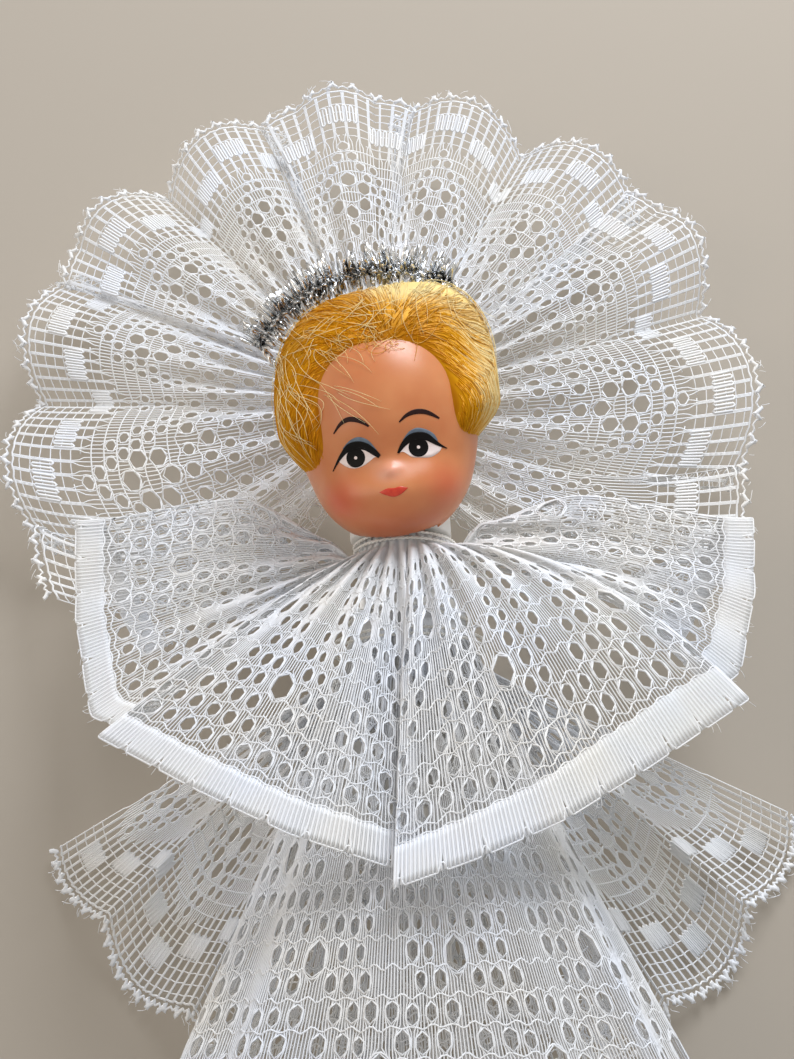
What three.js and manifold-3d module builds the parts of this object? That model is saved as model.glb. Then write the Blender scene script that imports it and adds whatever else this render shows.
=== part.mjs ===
// Angel tree topper. A vinyl doll head with combed hair and a tinsel halo turns on a neck plug that closes
// a white support cone. A scalloped lace wheel stands behind the head on a wire hoop, and a lace collar,
// a skirt and a back ruffle are gathered round the neck and the cone.
// Millimetres, +Z up. The face looks along -Y and the origin is the middle of the cone's open mouth.
import * as THREE from 'three';
import { mergeVertices } from 'three/addons/utils/BufferGeometryUtils.js';
import Module from 'manifold-3d';

const wasm = await Module();
wasm.setup();

// Fits
const seatGap = 0.3;
const turnGap = 0.3;
const clothThickness = 0.8;

// Support cone
const coneMouthRadius = 13.5;
const coneTopRadius = 7.2;
const coneHeight = 44;
const coneWall = 1.2;

// Neck plug
const shankLength = 6;
const shoulderRadius = 7.4;
const shoulderHeight = 2.9;
const neckRadius = 5.2;
const flangeRadius = 6.8;
const flangeHeight = 2.4;
const plugChamfer = 0.5;

// Vinyl head, measured from its middle
const headHalfWidth = 16.2;
const headHalfDepth = 16.6;
const headCrown = 19.8;
const headChin = 22.6;
const chinForward = 5;
const headRise = 22;
const headTilt = 20;
const headLean = 6.6;
const headYaw = 4;
const vinylWall = 2;
const lipThickness = 3;
const stubWall = 1.8;
const stubHeight = 14;
const jawRecess = 3.2;

// Hair, measured from the head's middle
const hairSideThickness = 4;
const hairBackThickness = 3;
const hairCrownThickness = 4.7;
const faceHalfWidth = 12.4;
const faceSide = 1.2;
const faceCorner = 8.5;
const hairlineHeight = 11.3;
const faceSetback = 3;
const hairFrontEnd = -10;
const hairNapeEnd = -14;

// Tinsel halo
const haloRadius = 27.5;
const haloBack = 3;
const haloLeftAngle = 50;
const haloRightAngle = 36;
const haloBareEnd = 4;
const haloWireRadius = 0.5;
const haloSocketDepth = 1.6;
const sleeveWall = 0.5;
const bladeLength = 1.5;
const bladeRows = 50;
const bladesAround = 6;
const bladeTurns = 2.5;
const boreRows = 12;

// Lace wheel behind the head, on its wire hoop
const wheelSide = -3.3;
const wheelHeight = 83;
const wheelStandoff = 4.5;
const wheelLaceWidth = 61.5;
const hoopRadius = 11;
const hoopWireRadius = 0.8;
const hoopMouth = 20;
const tailSpread = 1.6;
const tailLength = 4.5;
const tailDrop = 4;
const wireBend = 8;
const wheelStartAngle = -121;
const wheelEndAngle = 118;
const scallopPitch = 22.9;
const scallopDepth = 4.5;
const wheelFirstTip = -6;
const fluteDepth = 4.2;

// Openwork of the scalloped lace: one opening for each scallop, in rows at these shares of its width. Both
// ends of the strip are left whole for a share of its length
const openRows = [[0.28, 0.46], [0.52, 0.68], [0.74, 0.88]];
const openShare = 0.72;
const wholeEnd = 0.04;

// Collar
const collarHeading = 2.4;
const collarHemDrop = 55.6;
const collarFoldRise = 10.3;
const collarLeftReach = 58.8;
const collarRightReach = 62.1;
const collarFrontDepth = 22;
const collarRidgeDepth = 14;
const collarFlapDepth = 3;
const collarBackDepth = 6;
const collarSweep = 138;

// Skirt
const skirtHeading = 2.6;
const skirtDrop = 13;
const skirtHemHeight = -57;
const skirtHemHalfWidth = 46;
const skirtFrontDepth = 18;
const skirtBackDepth = 15;
const skirtFluteCount = 11;
const skirtFluteDepth = 1.5;

// Back ruffle, of the same lace as the wheel
const ruffleHeading = 2.4;
const ruffleSide = 1.7;
const ruffleStep = 1.6;
const ruffleSpread = 68;
const rufflePitch = 18;
const ruffleFirstTip = 44;
const ruffleBackDepth = 21.8;
const ruffleFluteDepth = 2.6;

// Gathering threads
const threadRadius = 0.3;
const threadPitch = 1.1;
const threadTurns = 2;

const up = new THREE.Vector3(0, 0, 1);
const degrees = THREE.MathUtils.degToRad;
const step = THREE.MathUtils.smoothstep;
const mix = THREE.MathUtils.lerp;

// Heights and radii that the fits settle
const shoulderBase = coneHeight + seatGap;
const shoulderTop = shoulderBase + shoulderHeight;
const headUnderside = shoulderTop + turnGap;
const lipTop = headUnderside + lipThickness;
const flangeBase = lipTop + turnGap;
const flangeTop = flangeBase + flangeHeight;
const flangeRoom = flangeRadius + 2 * turnGap;
const stubRadius = flangeRoom + stubWall;
const stubTop = headUnderside + stubHeight;
const sleeveBore = haloWireRadius + seatGap;
const sleeveRadius = sleeveBore + sleeveWall;
const wheelInnerRadius = hoopRadius + hoopWireRadius + seatGap + clothThickness / 2;
const wheelRadius = wheelInnerRadius + wheelLaceWidth;
const layerStep = clothThickness + seatGap;
const collarGather = shoulderRadius + seatGap + clothThickness / 2;
const collarWaist = shoulderBase;
const skirtWaist = coneHeight - skirtDrop;
const hairBack = (headHalfDepth + hairBackThickness) * Math.cos(degrees(headTilt))
  - headRise * Math.sin(degrees(headTilt));
const wheelDepth = hairBack + wheelStandoff;

function coneRadiusAt(height) {
  return mix(coneMouthRadius, coneTopRadius, height / coneHeight);
}

// Meshes and solids

function shareVertices(geometry) {
  const bare = geometry.clone();
  bare.deleteAttribute('normal');
  bare.deleteAttribute('uv');
  return mergeVertices(bare, 1e-4);
}

function faceOutward(geometry) {
  const points = geometry.attributes.position;
  const index = geometry.index.array;
  const corners = [0, 1, 2].map(() => new THREE.Vector3());
  let volume = 0;
  for (let i = 0; i < index.length; i += 3) {
    corners.forEach((corner, k) => corner.fromBufferAttribute(points, index[i + k]));
    volume += corners[0].dot(corners[1].cross(corners[2]));
  }
  if (volume > 0) {
    return geometry;
  }
  for (let i = 0; i < index.length; i += 3) {
    const first = index[i];
    index[i] = index[i + 1];
    index[i + 1] = first;
  }
  return geometry;
}

function toSolid(geometry) {
  const shared = faceOutward(shareVertices(geometry));
  const mesh = new wasm.Mesh({
    numProp: 3,
    vertProperties: new Float32Array(shared.attributes.position.array),
    triVerts: new Uint32Array(shared.index.array),
  });
  return new wasm.Manifold(mesh);
}

function toGeometry(solid) {
  const mesh = solid.getMesh();
  const geometry = new THREE.BufferGeometry();
  geometry.setAttribute('position', new THREE.BufferAttribute(new Float32Array(mesh.vertProperties), 3));
  geometry.setIndex(new THREE.BufferAttribute(new Uint32Array(mesh.triVerts), 1));
  return geometry;
}

function gridGeometry(positions, faces) {
  const geometry = new THREE.BufferGeometry();
  geometry.setAttribute('position', new THREE.Float32BufferAttribute(positions, 3));
  geometry.setIndex(faces);
  return faceOutward(geometry);
}

function revolve(profile, segments) {
  const points = profile.map(([radius, height]) => new THREE.Vector2(radius, height));
  return shareVertices(new THREE.LatheGeometry(points, segments).rotateX(Math.PI / 2));
}

function rod(radius, from, to, segments) {
  return revolve([[0, from], [radius, from], [radius, to], [0, to]], segments);
}

function ringShape(radius, bore) {
  const shape = new THREE.Shape().absarc(0, 0, radius, 0, 2 * Math.PI);
  if (bore) {
    shape.holes.push(new THREE.Path().absarc(0, 0, bore, 0, 2 * Math.PI, true));
  }
  return shape;
}

function tubeAlong(points, steps, sides, radius, bore) {
  const extrudePath = new THREE.CatmullRomCurve3(points);
  const options = { steps, extrudePath, curveSegments: sides / 2, bevelEnabled: false };
  return shareVertices(new THREE.ExtrudeGeometry(ringShape(radius, bore), options));
}

// A sheet of cloth with its thickness, from a function of the shares of its width and length. It has a row
// of points at each of the given shares of its length, and can have cells left open
function clothShell(pointAt, uSteps, shares, closed, isOpen) {
  const columns = closed ? uSteps : uSteps + 1;
  const vSteps = shares.length - 1;
  const small = 1e-3;
  const inside = (share) => THREE.MathUtils.clamp(share, 0, 1);
  const positions = [];
  for (const side of [-0.5, 0.5]) {
    for (const v of shares) {
      for (let i = 0; i < columns; i++) {
        const u = i / uSteps;
        const [before, after] = closed ? [u - small, u + small] : [inside(u - small), inside(u + small)];
        const along = pointAt(after, v).sub(pointAt(before, v));
        const across = pointAt(u, inside(v + small)).sub(pointAt(u, inside(v - small)));
        const normal = along.cross(across).normalize();
        positions.push(...pointAt(u, v).addScaledVector(normal, side * clothThickness));
      }
    }
  }
  const layer = columns * shares.length;
  const at = (i, j, side) => side * layer + j * columns + (i % columns);
  const inGrid = (i, j) => j >= 0 && j < vSteps && (closed || (i >= 0 && i < uSteps));
  const isCut = (i, j) => isOpen && isOpen((i + 0.5) / uSteps, (shares[j] + shares[j + 1]) / 2);
  const isCloth = (i, j) => inGrid(i, j) && !isCut(i, j);
  const faces = [];
  const quad = (a, b, c, d) => faces.push(a, b, c, a, c, d);
  for (let i = 0; i < uSteps; i++) {
    for (let j = 0; j < vSteps; j++) {
      if (!isCloth(i, j)) {
        continue;
      }
      quad(at(i, j, 1), at(i + 1, j, 1), at(i + 1, j + 1, 1), at(i, j + 1, 1));
      quad(at(i, j, 0), at(i, j + 1, 0), at(i + 1, j + 1, 0), at(i + 1, j, 0));
      if (!isCloth(i, j - 1)) {
        quad(at(i, j, 0), at(i + 1, j, 0), at(i + 1, j, 1), at(i, j, 1));
      }
      if (!isCloth(i, j + 1)) {
        quad(at(i, j + 1, 1), at(i + 1, j + 1, 1), at(i + 1, j + 1, 0), at(i, j + 1, 0));
      }
      if (!isCloth(i - 1, j)) {
        quad(at(i, j, 0), at(i, j, 1), at(i, j + 1, 1), at(i, j + 1, 0));
      }
      if (!isCloth(i + 1, j)) {
        quad(at(i + 1, j, 1), at(i + 1, j, 0), at(i + 1, j + 1, 0), at(i + 1, j + 1, 1));
      }
    }
  }
  return gridGeometry(positions, faces);
}

// A closed form from a function of the direction out of its middle
function sculpt(pointAt, around, tall) {
  const ball = shareVertices(new THREE.SphereGeometry(1, around, tall).rotateX(Math.PI / 2));
  const points = ball.attributes.position;
  const direction = new THREE.Vector3();
  for (let i = 0; i < points.count; i++) {
    direction.fromBufferAttribute(points, i).normalize();
    points.setXYZ(i, ...pointAt(direction));
  }
  return faceOutward(ball);
}

// Support cone and neck plug

function makeSupportCone() {
  const profile = [
    [coneMouthRadius, 0],
    [coneTopRadius, coneHeight],
    [coneTopRadius - coneWall, coneHeight],
    [coneMouthRadius - coneWall, 0],
    [coneMouthRadius, 0],
  ];
  return faceOutward(revolve(profile, 32));
}

function makeNeckPlug() {
  const shankRadius = coneTopRadius - coneWall - seatGap;
  const profile = [
    [0, shoulderBase - shankLength],
    [shankRadius - plugChamfer, shoulderBase - shankLength],
    [shankRadius, shoulderBase - shankLength + plugChamfer],
    [shankRadius, shoulderBase],
    [shoulderRadius, shoulderBase],
    [shoulderRadius, shoulderTop - plugChamfer],
    [shoulderRadius - plugChamfer, shoulderTop],
    [neckRadius, shoulderTop],
    [neckRadius, flangeBase],
    [flangeRadius, flangeBase],
    [flangeRadius, mix(flangeBase, flangeTop, 0.4)],
    [neckRadius, flangeTop],
    [0, flangeTop],
  ];
  return faceOutward(revolve(profile, 24));
}

// Head, hair and halo share a group that leans with the head. Its origin is where the head turns

const headGroup = new THREE.Group();
headGroup.position.set(0, 0, headUnderside);
headGroup.rotation.set(degrees(headTilt), degrees(-headLean), degrees(-headYaw));
headGroup.updateMatrixWorld(true);
const intoHead = headGroup.matrixWorld.clone().invert();

function uprightInHead(geometry) {
  return geometry.applyMatrix4(intoHead);
}

// Swellings and hollows of the face: sideways, height, their half sizes and how far each stands out
const faceRelief = [
  { name: 'nose', side: 0.4, height: -9.6, wide: 2.3, tall: 2.5, out: 2.4 },
  { name: 'left cheek', side: -7.8, height: -12.5, wide: 5, tall: 4.5, out: 1.2 },
  { name: 'right cheek', side: 7.8, height: -12.5, wide: 5, tall: 4.5, out: 1.2 },
  { name: 'chin', side: 0, height: -18.5, wide: 4.5, tall: 3, out: 1.2 },
  { name: 'lips', side: 0, height: -14, wide: 3, tall: 1.3, out: 0.8 },
  { name: 'left eye hollow', side: -5.2, height: -6.6, wide: 3.4, tall: 2.6, out: -0.8 },
  { name: 'right eye hollow', side: 5.2, height: -6.6, wide: 3.4, tall: 2.6, out: -0.8 },
];

function headPoint(direction, grow) {
  const tall = (direction.z < 0 ? headChin : headCrown) + grow;
  const x = direction.x * (headHalfWidth + grow);
  const z = direction.z * tall;
  let y = direction.y * (headHalfDepth + grow);
  const front = step(-direction.y, 0, 0.5);
  y -= chinForward * step(-z, 0.35 * headChin, 0.9 * headChin);
  for (const { side, height, wide, tall: high, out } of faceRelief) {
    y -= front * out * Math.exp(-(((x - side) / wide) ** 2) - ((z - height) / high) ** 2);
  }
  return new THREE.Vector3(x, y, z + headRise);
}

function headForm(grow, around, tall) {
  return sculpt((direction) => headPoint(direction, grow), around, tall);
}

const headAround = 32;
const headTall = 22;

// The head is hollow above a lip that turns between the plug's shoulder and its flange
function makeHeadShell() {
  const far = 200;
  const above = new THREE.BoxGeometry(far, far, far).translate(0, 0, flangeTop + far / 2);
  const hollow = toSolid(headForm(-vinylWall, 16, 12)).intersect(toSolid(uprightInHead(above)));
  const stub = uprightInHead(rod(stubRadius, headUnderside, stubTop, 28));
  const room = uprightInHead(rod(flangeRoom, lipTop, stubTop - stubWall, 28));
  const bore = uprightInHead(rod(neckRadius + turnGap, headUnderside - far, lipTop + turnGap, 28));
  const recess = uprightInHead(rod(shoulderRadius + jawRecess, headUnderside - far, headUnderside, 36));
  const shell = toSolid(headForm(0, headAround, headTall))
    .add(toSolid(stub))
    .subtract(hollow)
    .subtract(toSolid(room))
    .subtract(toSolid(bore))
    .subtract(toSolid(recess));
  return toGeometry(shell);
}

function hairPoint(direction) {
  const tall = direction.z < 0 ? headChin : headCrown + hairCrownThickness;
  return new THREE.Vector3(
    direction.x * (headHalfWidth + hairSideThickness),
    direction.y * (headHalfDepth + hairBackThickness),
    direction.z * tall + headRise,
  );
}

// The opening of the hair round the face, cut straight back to the temples
function faceOpening() {
  const low = headRise - 2 * headChin;
  const springing = headRise + hairlineHeight - faceCorner;
  const inward = faceHalfWidth - faceCorner;
  const outline = new THREE.Shape()
    .moveTo(faceSide - faceHalfWidth, low)
    .lineTo(faceSide + faceHalfWidth, low)
    .absarc(faceSide + inward, springing, faceCorner, 0, Math.PI / 2)
    .absarc(faceSide - inward, springing, faceCorner, Math.PI / 2, Math.PI);
  const depth = 2 * headHalfDepth;
  const cutter = new THREE.ExtrudeGeometry(outline, { depth, bevelEnabled: false, curveSegments: 7 });
  return cutter.rotateX(Math.PI / 2).translate(0, -faceSetback, 0);
}

// What is below the hair's ends, which drop from the cheeks to the nape
function belowHair() {
  const reach = headHalfDepth + hairBackThickness + 10;
  const fall = Math.atan2(hairNapeEnd - hairFrontEnd, 2 * headHalfDepth);
  const tall = 2 * headChin;
  return new THREE.BoxGeometry(3 * reach, 3 * reach, tall)
    .translate(0, 0, -tall / 2)
    .rotateX(fall)
    .translate(0, 0, headRise + (hairFrontEnd + hairNapeEnd) / 2);
}

function haloPoint(angle, radius) {
  return new THREE.Vector3(radius * Math.sin(angle), haloBack, headRise + radius * Math.cos(angle));
}

function hairRadiusAt(angle) {
  const wide = headHalfWidth + hairSideThickness;
  const tall = headCrown + hairCrownThickness;
  return 1 / Math.hypot(Math.sin(angle) / wide, Math.cos(angle) / tall);
}

// The wire runs along the arc and turns down into the hair at both ends
function haloRoute(extra) {
  const left = -degrees(haloLeftAngle);
  const right = degrees(haloRightAngle);
  const turn = degrees(7);
  const count = 9;
  const points = [haloPoint(left - turn, hairRadiusAt(left - turn) - haloSocketDepth - extra)];
  for (let i = 0; i <= count; i++) {
    points.push(haloPoint(mix(left, right, i / count), haloRadius));
  }
  points.push(haloPoint(right + turn, hairRadiusAt(right + turn) - haloSocketDepth - extra));
  return points;
}

function makeHair() {
  const nape = uprightInHead(rod(stubRadius + seatGap, headUnderside - seatGap, stubTop + seatGap, 28));
  const hair = toSolid(sculpt(hairPoint, 28, 18))
    .subtract(toSolid(headForm(seatGap, headAround, headTall)))
    .subtract(toSolid(nape))
    .subtract(toSolid(faceOpening()))
    .subtract(toSolid(belowHair()))
    .subtract(toSolid(tubeAlong(haloRoute(seatGap), 44, 8, haloWireRadius + seatGap)));
  return toGeometry(hair);
}

function makeHaloWire() {
  return tubeAlong(haloRoute(0), 44, 6, haloWireRadius);
}

// Four-sided foil blades stand out of a thin sleeve, in rows that turn on from each other along the arc
function makeHaloTinsel() {
  const left = -degrees(haloLeftAngle - haloBareEnd);
  const right = degrees(haloRightAngle - haloBareEnd);
  const sector = 2 * Math.PI / bladesAround;
  const shift = Math.round(bladeTurns * bladesAround);
  const twist = shift * sector / bladeRows;
  const point = (along, turn, radius) => {
    const angle = mix(left, right, along);
    return haloPoint(angle, haloRadius + radius * Math.cos(turn)).setY(haloBack + radius * Math.sin(turn));
  };
  const positions = [];
  const add = (along, turn, radius) => positions.push(...point(along, turn, radius)) / 3 - 1;
  const ring = (along, first, radius) => Array.from({ length: bladesAround }, (_, k) =>
    add(along, first + k * sector, radius));
  const outer = [];
  for (let i = 0; i <= bladeRows; i++) {
    outer.push(ring(i / bladeRows, i * twist, sleeveRadius));
  }
  const inner = [];
  for (let i = 0; i <= boreRows; i++) {
    inner.push(ring(i / boreRows, 0, sleeveBore / Math.cos(sector / 2)));
  }
  const faces = [];
  const next = (k) => (k + 1) % bladesAround;
  for (let i = 0; i < bladeRows; i++) {
    for (let k = 0; k < bladesAround; k++) {
      const turn = (i + 0.5) * twist + (k + 0.5) * sector;
      const tip = add((i + 0.5) / bladeRows, turn, sleeveRadius + bladeLength);
      const base = [outer[i][k], outer[i][next(k)], outer[i + 1][next(k)], outer[i + 1][k]];
      base.forEach((corner, edge) => faces.push(corner, base[(edge + 1) % 4], tip));
    }
  }
  for (let k = 0; k < bladesAround; k++) {
    for (let i = 0; i < boreRows; i++) {
      const wall = [inner[i][k], inner[i + 1][k], inner[i + 1][next(k)], inner[i][next(k)]];
      faces.push(wall[0], wall[1], wall[2], wall[0], wall[2], wall[3]);
    }
    const first = outer[0];
    faces.push(first[k], inner[0][k], inner[0][next(k)], first[k], inner[0][next(k)], first[next(k)]);
    const last = (turn) => inner[boreRows][(turn + shift) % bladesAround];
    const rim = outer[bladeRows];
    faces.push(rim[k], last(next(k)), last(k), rim[k], rim[next(k)], last(next(k)));
  }
  return gridGeometry(positions, faces);
}

// Lace wheel and its carrier

function scallop(angle, firstTip, pitch) {
  return scallopDepth * (1 - Math.abs(Math.cos(Math.PI * (angle - firstTip) / pitch)));
}

function flute(angle, firstTip, pitch) {
  return Math.cos(2 * Math.PI * (angle - firstTip) / pitch);
}

// A test for the openings of a strip whose scallops lie between two angles
function openwork(startAngle, endAngle, firstTip, pitch) {
  return (u, v) => {
    const scallops = (mix(startAngle, endAngle, u) - firstTip) / pitch;
    const offTip = Math.abs(scallops - Math.round(scallops));
    const isAtEnd = Math.min(u, 1 - u) < wholeEnd;
    return !isAtEnd && offTip < openShare / 2 && openRows.some(([low, high]) => v > low && v < high);
  };
}

function wheelPoint(u, v) {
  const angle = mix(wheelStartAngle, wheelEndAngle, u);
  const rim = wheelRadius - scallop(angle, wheelFirstTip, scallopPitch);
  const radius = mix(wheelInnerRadius, rim, v);
  return new THREE.Vector3(
    wheelSide + radius * Math.sin(degrees(angle)),
    wheelDepth - fluteDepth * v ** 1.3 * flute(angle, wheelFirstTip, scallopPitch),
    wheelHeight + radius * Math.cos(degrees(angle)),
  );
}

function makeWingLace() {
  const isOpen = openwork(wheelStartAngle, wheelEndAngle, wheelFirstTip, scallopPitch);
  return clothShell(wheelPoint, 84, [0, ...openRows.flat(), 1], false, isOpen);
}

// One wire: up the back of the cone, round the hoop and down again
function makeWingWire() {
  const offset = hoopWireRadius + seatGap;
  const tailTop = coneHeight - tailDrop;
  const tail = (side) => [
    new THREE.Vector3(side * tailSpread, coneRadiusAt(tailTop - tailLength) + offset, tailTop - tailLength),
    new THREE.Vector3(side * tailSpread, coneRadiusAt(tailTop) + offset, tailTop),
    new THREE.Vector3(side * tailSpread + wheelSide * 0.25, mix(coneRadiusAt(tailTop), wheelDepth, 0.85),
      tailTop + wireBend),
    new THREE.Vector3(side * tailSpread + wheelSide * 0.7, wheelDepth, tailTop + 2 * wireBend),
  ];
  const hoop = [];
  for (let i = 0; i <= 16; i++) {
    const angle = degrees(mix(hoopMouth - 180, 180 - hoopMouth, i / 16));
    hoop.push(new THREE.Vector3(
      wheelSide + hoopRadius * Math.sin(angle), wheelDepth, wheelHeight + hoopRadius * Math.cos(angle)));
  }
  return tubeAlong([...tail(-1), ...hoop, ...tail(1).reverse()], 56, 6, hoopWireRadius);
}

// Gathered lace: a heading that stands on a ring, then a fall from the ring to the hem
function gatheredPoint(ring, hem, v, heading, length) {
  const share = heading / (heading + length);
  if (v < share) {
    return ring.clone().addScaledVector(up, heading * (1 - v / share));
  }
  const fall = (v - share) / (1 - share);
  const lift = hem.z > ring.z ? step(fall, 0.03, 0.45) : fall;
  return new THREE.Vector3(
    mix(ring.x, hem.x, fall), mix(ring.y, hem.y, fall ** 0.65), mix(ring.z, hem.z, lift));
}

// Rows of points of a gathered sheet: both edges of its heading, then closer near it than near the hem
function gatheredRows(heading, length, falls) {
  const share = heading / (heading + length);
  const rows = [0];
  for (let i = 0; i <= falls; i++) {
    rows.push(mix(share, 1, (i / falls) ** 1.4));
  }
  return rows;
}

// The collar's hem from the left back, round both side folds and the front, to the right back
function collarHem() {
  const neck = collarWaist;
  const left = -collarLeftReach;
  const right = collarRightReach;
  const at = (x, y, z) => new THREE.Vector3(x, y, z);
  return new THREE.CatmullRomCurve3([
    at(0.8 * left, collarBackDepth, neck - 14),
    at(0.93 * left, collarBackDepth - 1, neck),
    at(left, 0, neck + collarFoldRise),
    at(0.965 * left, -collarFlapDepth, neck - 0.17 * collarHemDrop),
    at(0.895 * left, -2 * collarFlapDepth, neck - 0.48 * collarHemDrop),
    at(0.825 * left, -collarRidgeDepth, neck - 0.58 * collarHemDrop),
    at(0.42 * left, -collarFrontDepth, neck - 0.81 * collarHemDrop),
    at(0.06 * left, -0.87 * collarFrontDepth, neck - collarHemDrop),
    at(0.34 * right, -collarFrontDepth, neck - 0.86 * collarHemDrop),
    at(0.84 * right, -collarRidgeDepth, neck - 0.55 * collarHemDrop),
    at(0.87 * right, -2 * collarFlapDepth, neck - 0.43 * collarHemDrop),
    at(0.955 * right, -collarFlapDepth, neck - 0.17 * collarHemDrop),
    at(right, 0, neck + 0.55 * collarFoldRise),
    at(0.92 * right, collarBackDepth - 1, neck - 3),
    at(0.78 * right, collarBackDepth, neck - 15),
  ]);
}

const collarEdge = collarHem();

function collarPoint(u, v) {
  const share = THREE.MathUtils.clamp(u, 0, 1);
  const azimuth = degrees(mix(-collarSweep, collarSweep, share));
  const ring = new THREE.Vector3(
    collarGather * Math.sin(azimuth), -collarGather * Math.cos(azimuth), collarWaist);
  return gatheredPoint(ring, collarEdge.getPoint(share), v, collarHeading, collarHemDrop);
}

function makeCollarLace() {
  return clothShell(collarPoint, 60, gatheredRows(collarHeading, collarHemDrop, 4), false);
}

// The skirt runs down beside the cone to its mouth and spreads on to the hem
const skirtGather = coneRadiusAt(skirtWaist) + seatGap + clothThickness / 2;
const skirtAtMouth = coneMouthRadius + 2 * seatGap + clothThickness / 2;
const skirtFall = skirtWaist - skirtHemHeight;
const skirtShare = skirtHeading / (skirtHeading + skirtFall);

function skirtHalfWidth(fall) {
  return mix(skirtGather, skirtHemHalfWidth, fall ** 1.1);
}

function skirtPoint(u, v) {
  const turn = 2 * Math.PI * u;
  const fall = Math.max(0, (v - skirtShare) / (1 - skirtShare));
  const rise = Math.max(0, 1 - v / skirtShare);
  const height = skirtWaist + skirtHeading * rise - skirtFall * fall;
  const ripple = skirtFluteDepth * fall * (1 + Math.cos(skirtFluteCount * turn));
  const beside = mix(skirtGather, skirtAtMouth, Math.min(1, skirtFall * fall / skirtWaist));
  const below = step(-height, 0, -skirtHemHeight);
  const hemDepth = Math.sin(turn) < 0 ? skirtFrontDepth : skirtBackDepth;
  const depth = beside + (hemDepth - skirtAtMouth) * below + ripple;
  const wide = skirtHalfWidth(fall) + ripple;
  return new THREE.Vector3(wide * Math.cos(turn), depth * Math.sin(turn), height);
}

function makeSkirtLace() {
  const heights = [skirtWaist, skirtWaist / 2, 0, skirtHemHeight / 3, skirtHemHeight / 1.5, skirtHemHeight];
  const rows = heights.map((height) => mix(skirtShare, 1, (skirtWaist - height) / skirtFall));
  return clothShell(skirtPoint, 60, [0, ...rows], true);
}

// The ruffle hangs from a half ring behind the skirt's waist
const ruffleWaist = skirtWaist - skirtHeading - ruffleStep;
const waistFall = (skirtWaist - ruffleWaist) / skirtFall;
const ruffleGather = skirtHalfWidth(waistFall) + 2 * skirtFluteDepth * waistFall + layerStep;
const ruffleRadius = wheelLaceWidth + ruffleGather;

function rufflePoint(u, v) {
  const angle = mix(-ruffleSpread, ruffleSpread, u);
  const reach = ruffleRadius - scallop(angle, ruffleFirstTip, rufflePitch);
  const turn = degrees(angle);
  const ring = new THREE.Vector3(
    ruffleGather * Math.sin(turn), ruffleGather * Math.cos(turn), ruffleWaist);
  const hem = new THREE.Vector3(
    ruffleSide + reach * Math.sin(turn),
    ruffleBackDepth + ruffleFluteDepth * flute(angle, ruffleFirstTip, rufflePitch),
    ruffleWaist - reach * Math.cos(turn));
  return gatheredPoint(ring, hem, v, ruffleHeading, wheelLaceWidth);
}

function makeRuffleLace() {
  const share = ruffleHeading / (ruffleHeading + wheelLaceWidth);
  const isOpen = openwork(-ruffleSpread, ruffleSpread, ruffleFirstTip, rufflePitch);
  return clothShell(rufflePoint, 60, [0, share, 4 * share, ...openRows.flat(), 1], false, isOpen);
}

// Threads

// The least gap between the turns of a thread, measured on its points
function leastGap(points) {
  const apart = Math.round(points.length / threadTurns / 2);
  let least = Infinity;
  for (let i = 0; i < points.length; i++) {
    for (let j = i + apart; j < points.length; j++) {
      least = Math.min(least, points[i].distanceTo(points[j]));
    }
  }
  return least - 2 * threadRadius;
}

function winding(name, pointAt) {
  const stepsPerTurn = 18;
  const count = threadTurns * stepsPerTurn;
  const points = [];
  for (let i = 0; i <= count; i++) {
    points.push(pointAt(2 * Math.PI * i / stepsPerTurn, i / stepsPerTurn));
  }
  console.log(`${name}: least gap between turns ${leastGap(points).toFixed(2)} mm`);
  return tubeAlong(points, count, 4, threadRadius);
}

// A thread wound round a heading, held off the cloth in front and behind
function headingThread(name, frontRadius, backRadius, height) {
  const radius = (frontRadius + backRadius) / 2;
  const middle = (backRadius - frontRadius) / 2;
  const low = height - threadPitch * threadTurns / 2;
  return winding(name, (angle, turns) => new THREE.Vector3(
    radius * Math.sin(angle), middle + radius * Math.cos(angle), low + threadPitch * turns));
}

const threadOff = clothThickness / 2 + seatGap + threadRadius;

function makeCollarThread() {
  const front = collarGather + threadOff;
  return headingThread('collar_thread', front, front, collarWaist + collarHeading / 2 + seatGap);
}

function makeSkirtThread() {
  const radius = skirtGather + threadOff;
  return headingThread('skirt_thread', radius, radius, skirtWaist + skirtHeading / 2 + seatGap);
}

function makeRuffleThread() {
  const beside = ruffleGather + threadOff;
  const height = ruffleWaist + ruffleHeading / 2 + seatGap;
  return headingThread('ruffle_thread', beside - layerStep, beside + layerStep, height);
}

function makeWingThread() {
  const first = wheelInnerRadius + threadRadius;
  const depth = wheelDepth - threadOff;
  return winding('wing_thread', (angle, turns) => new THREE.Vector3(
    wheelSide + (first + threadPitch * turns) * Math.sin(angle),
    depth,
    wheelHeight + (first + threadPitch * turns) * Math.cos(angle)));
}

// Assembly

function piece(name, geometry, color, roughness, metalness) {
  const material = new THREE.MeshStandardMaterial({ color, roughness, metalness });
  const mesh = new THREE.Mesh(geometry, material);
  mesh.name = name;
  return mesh;
}

const laceWhite = 0xeef1f6;
const threadWhite = 0xf4f2ec;
const silver = 0xc4c8cc;

headGroup.add(
  piece('head_shell', makeHeadShell(), 0xf0a87c, 0.35, 0),
  piece('hair', makeHair(), 0xe0a53a, 0.4, 0),
  piece('halo_wire', makeHaloWire(), silver, 0.3, 1),
  piece('halo_tinsel', makeHaloTinsel(), silver, 0.2, 1),
);

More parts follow.
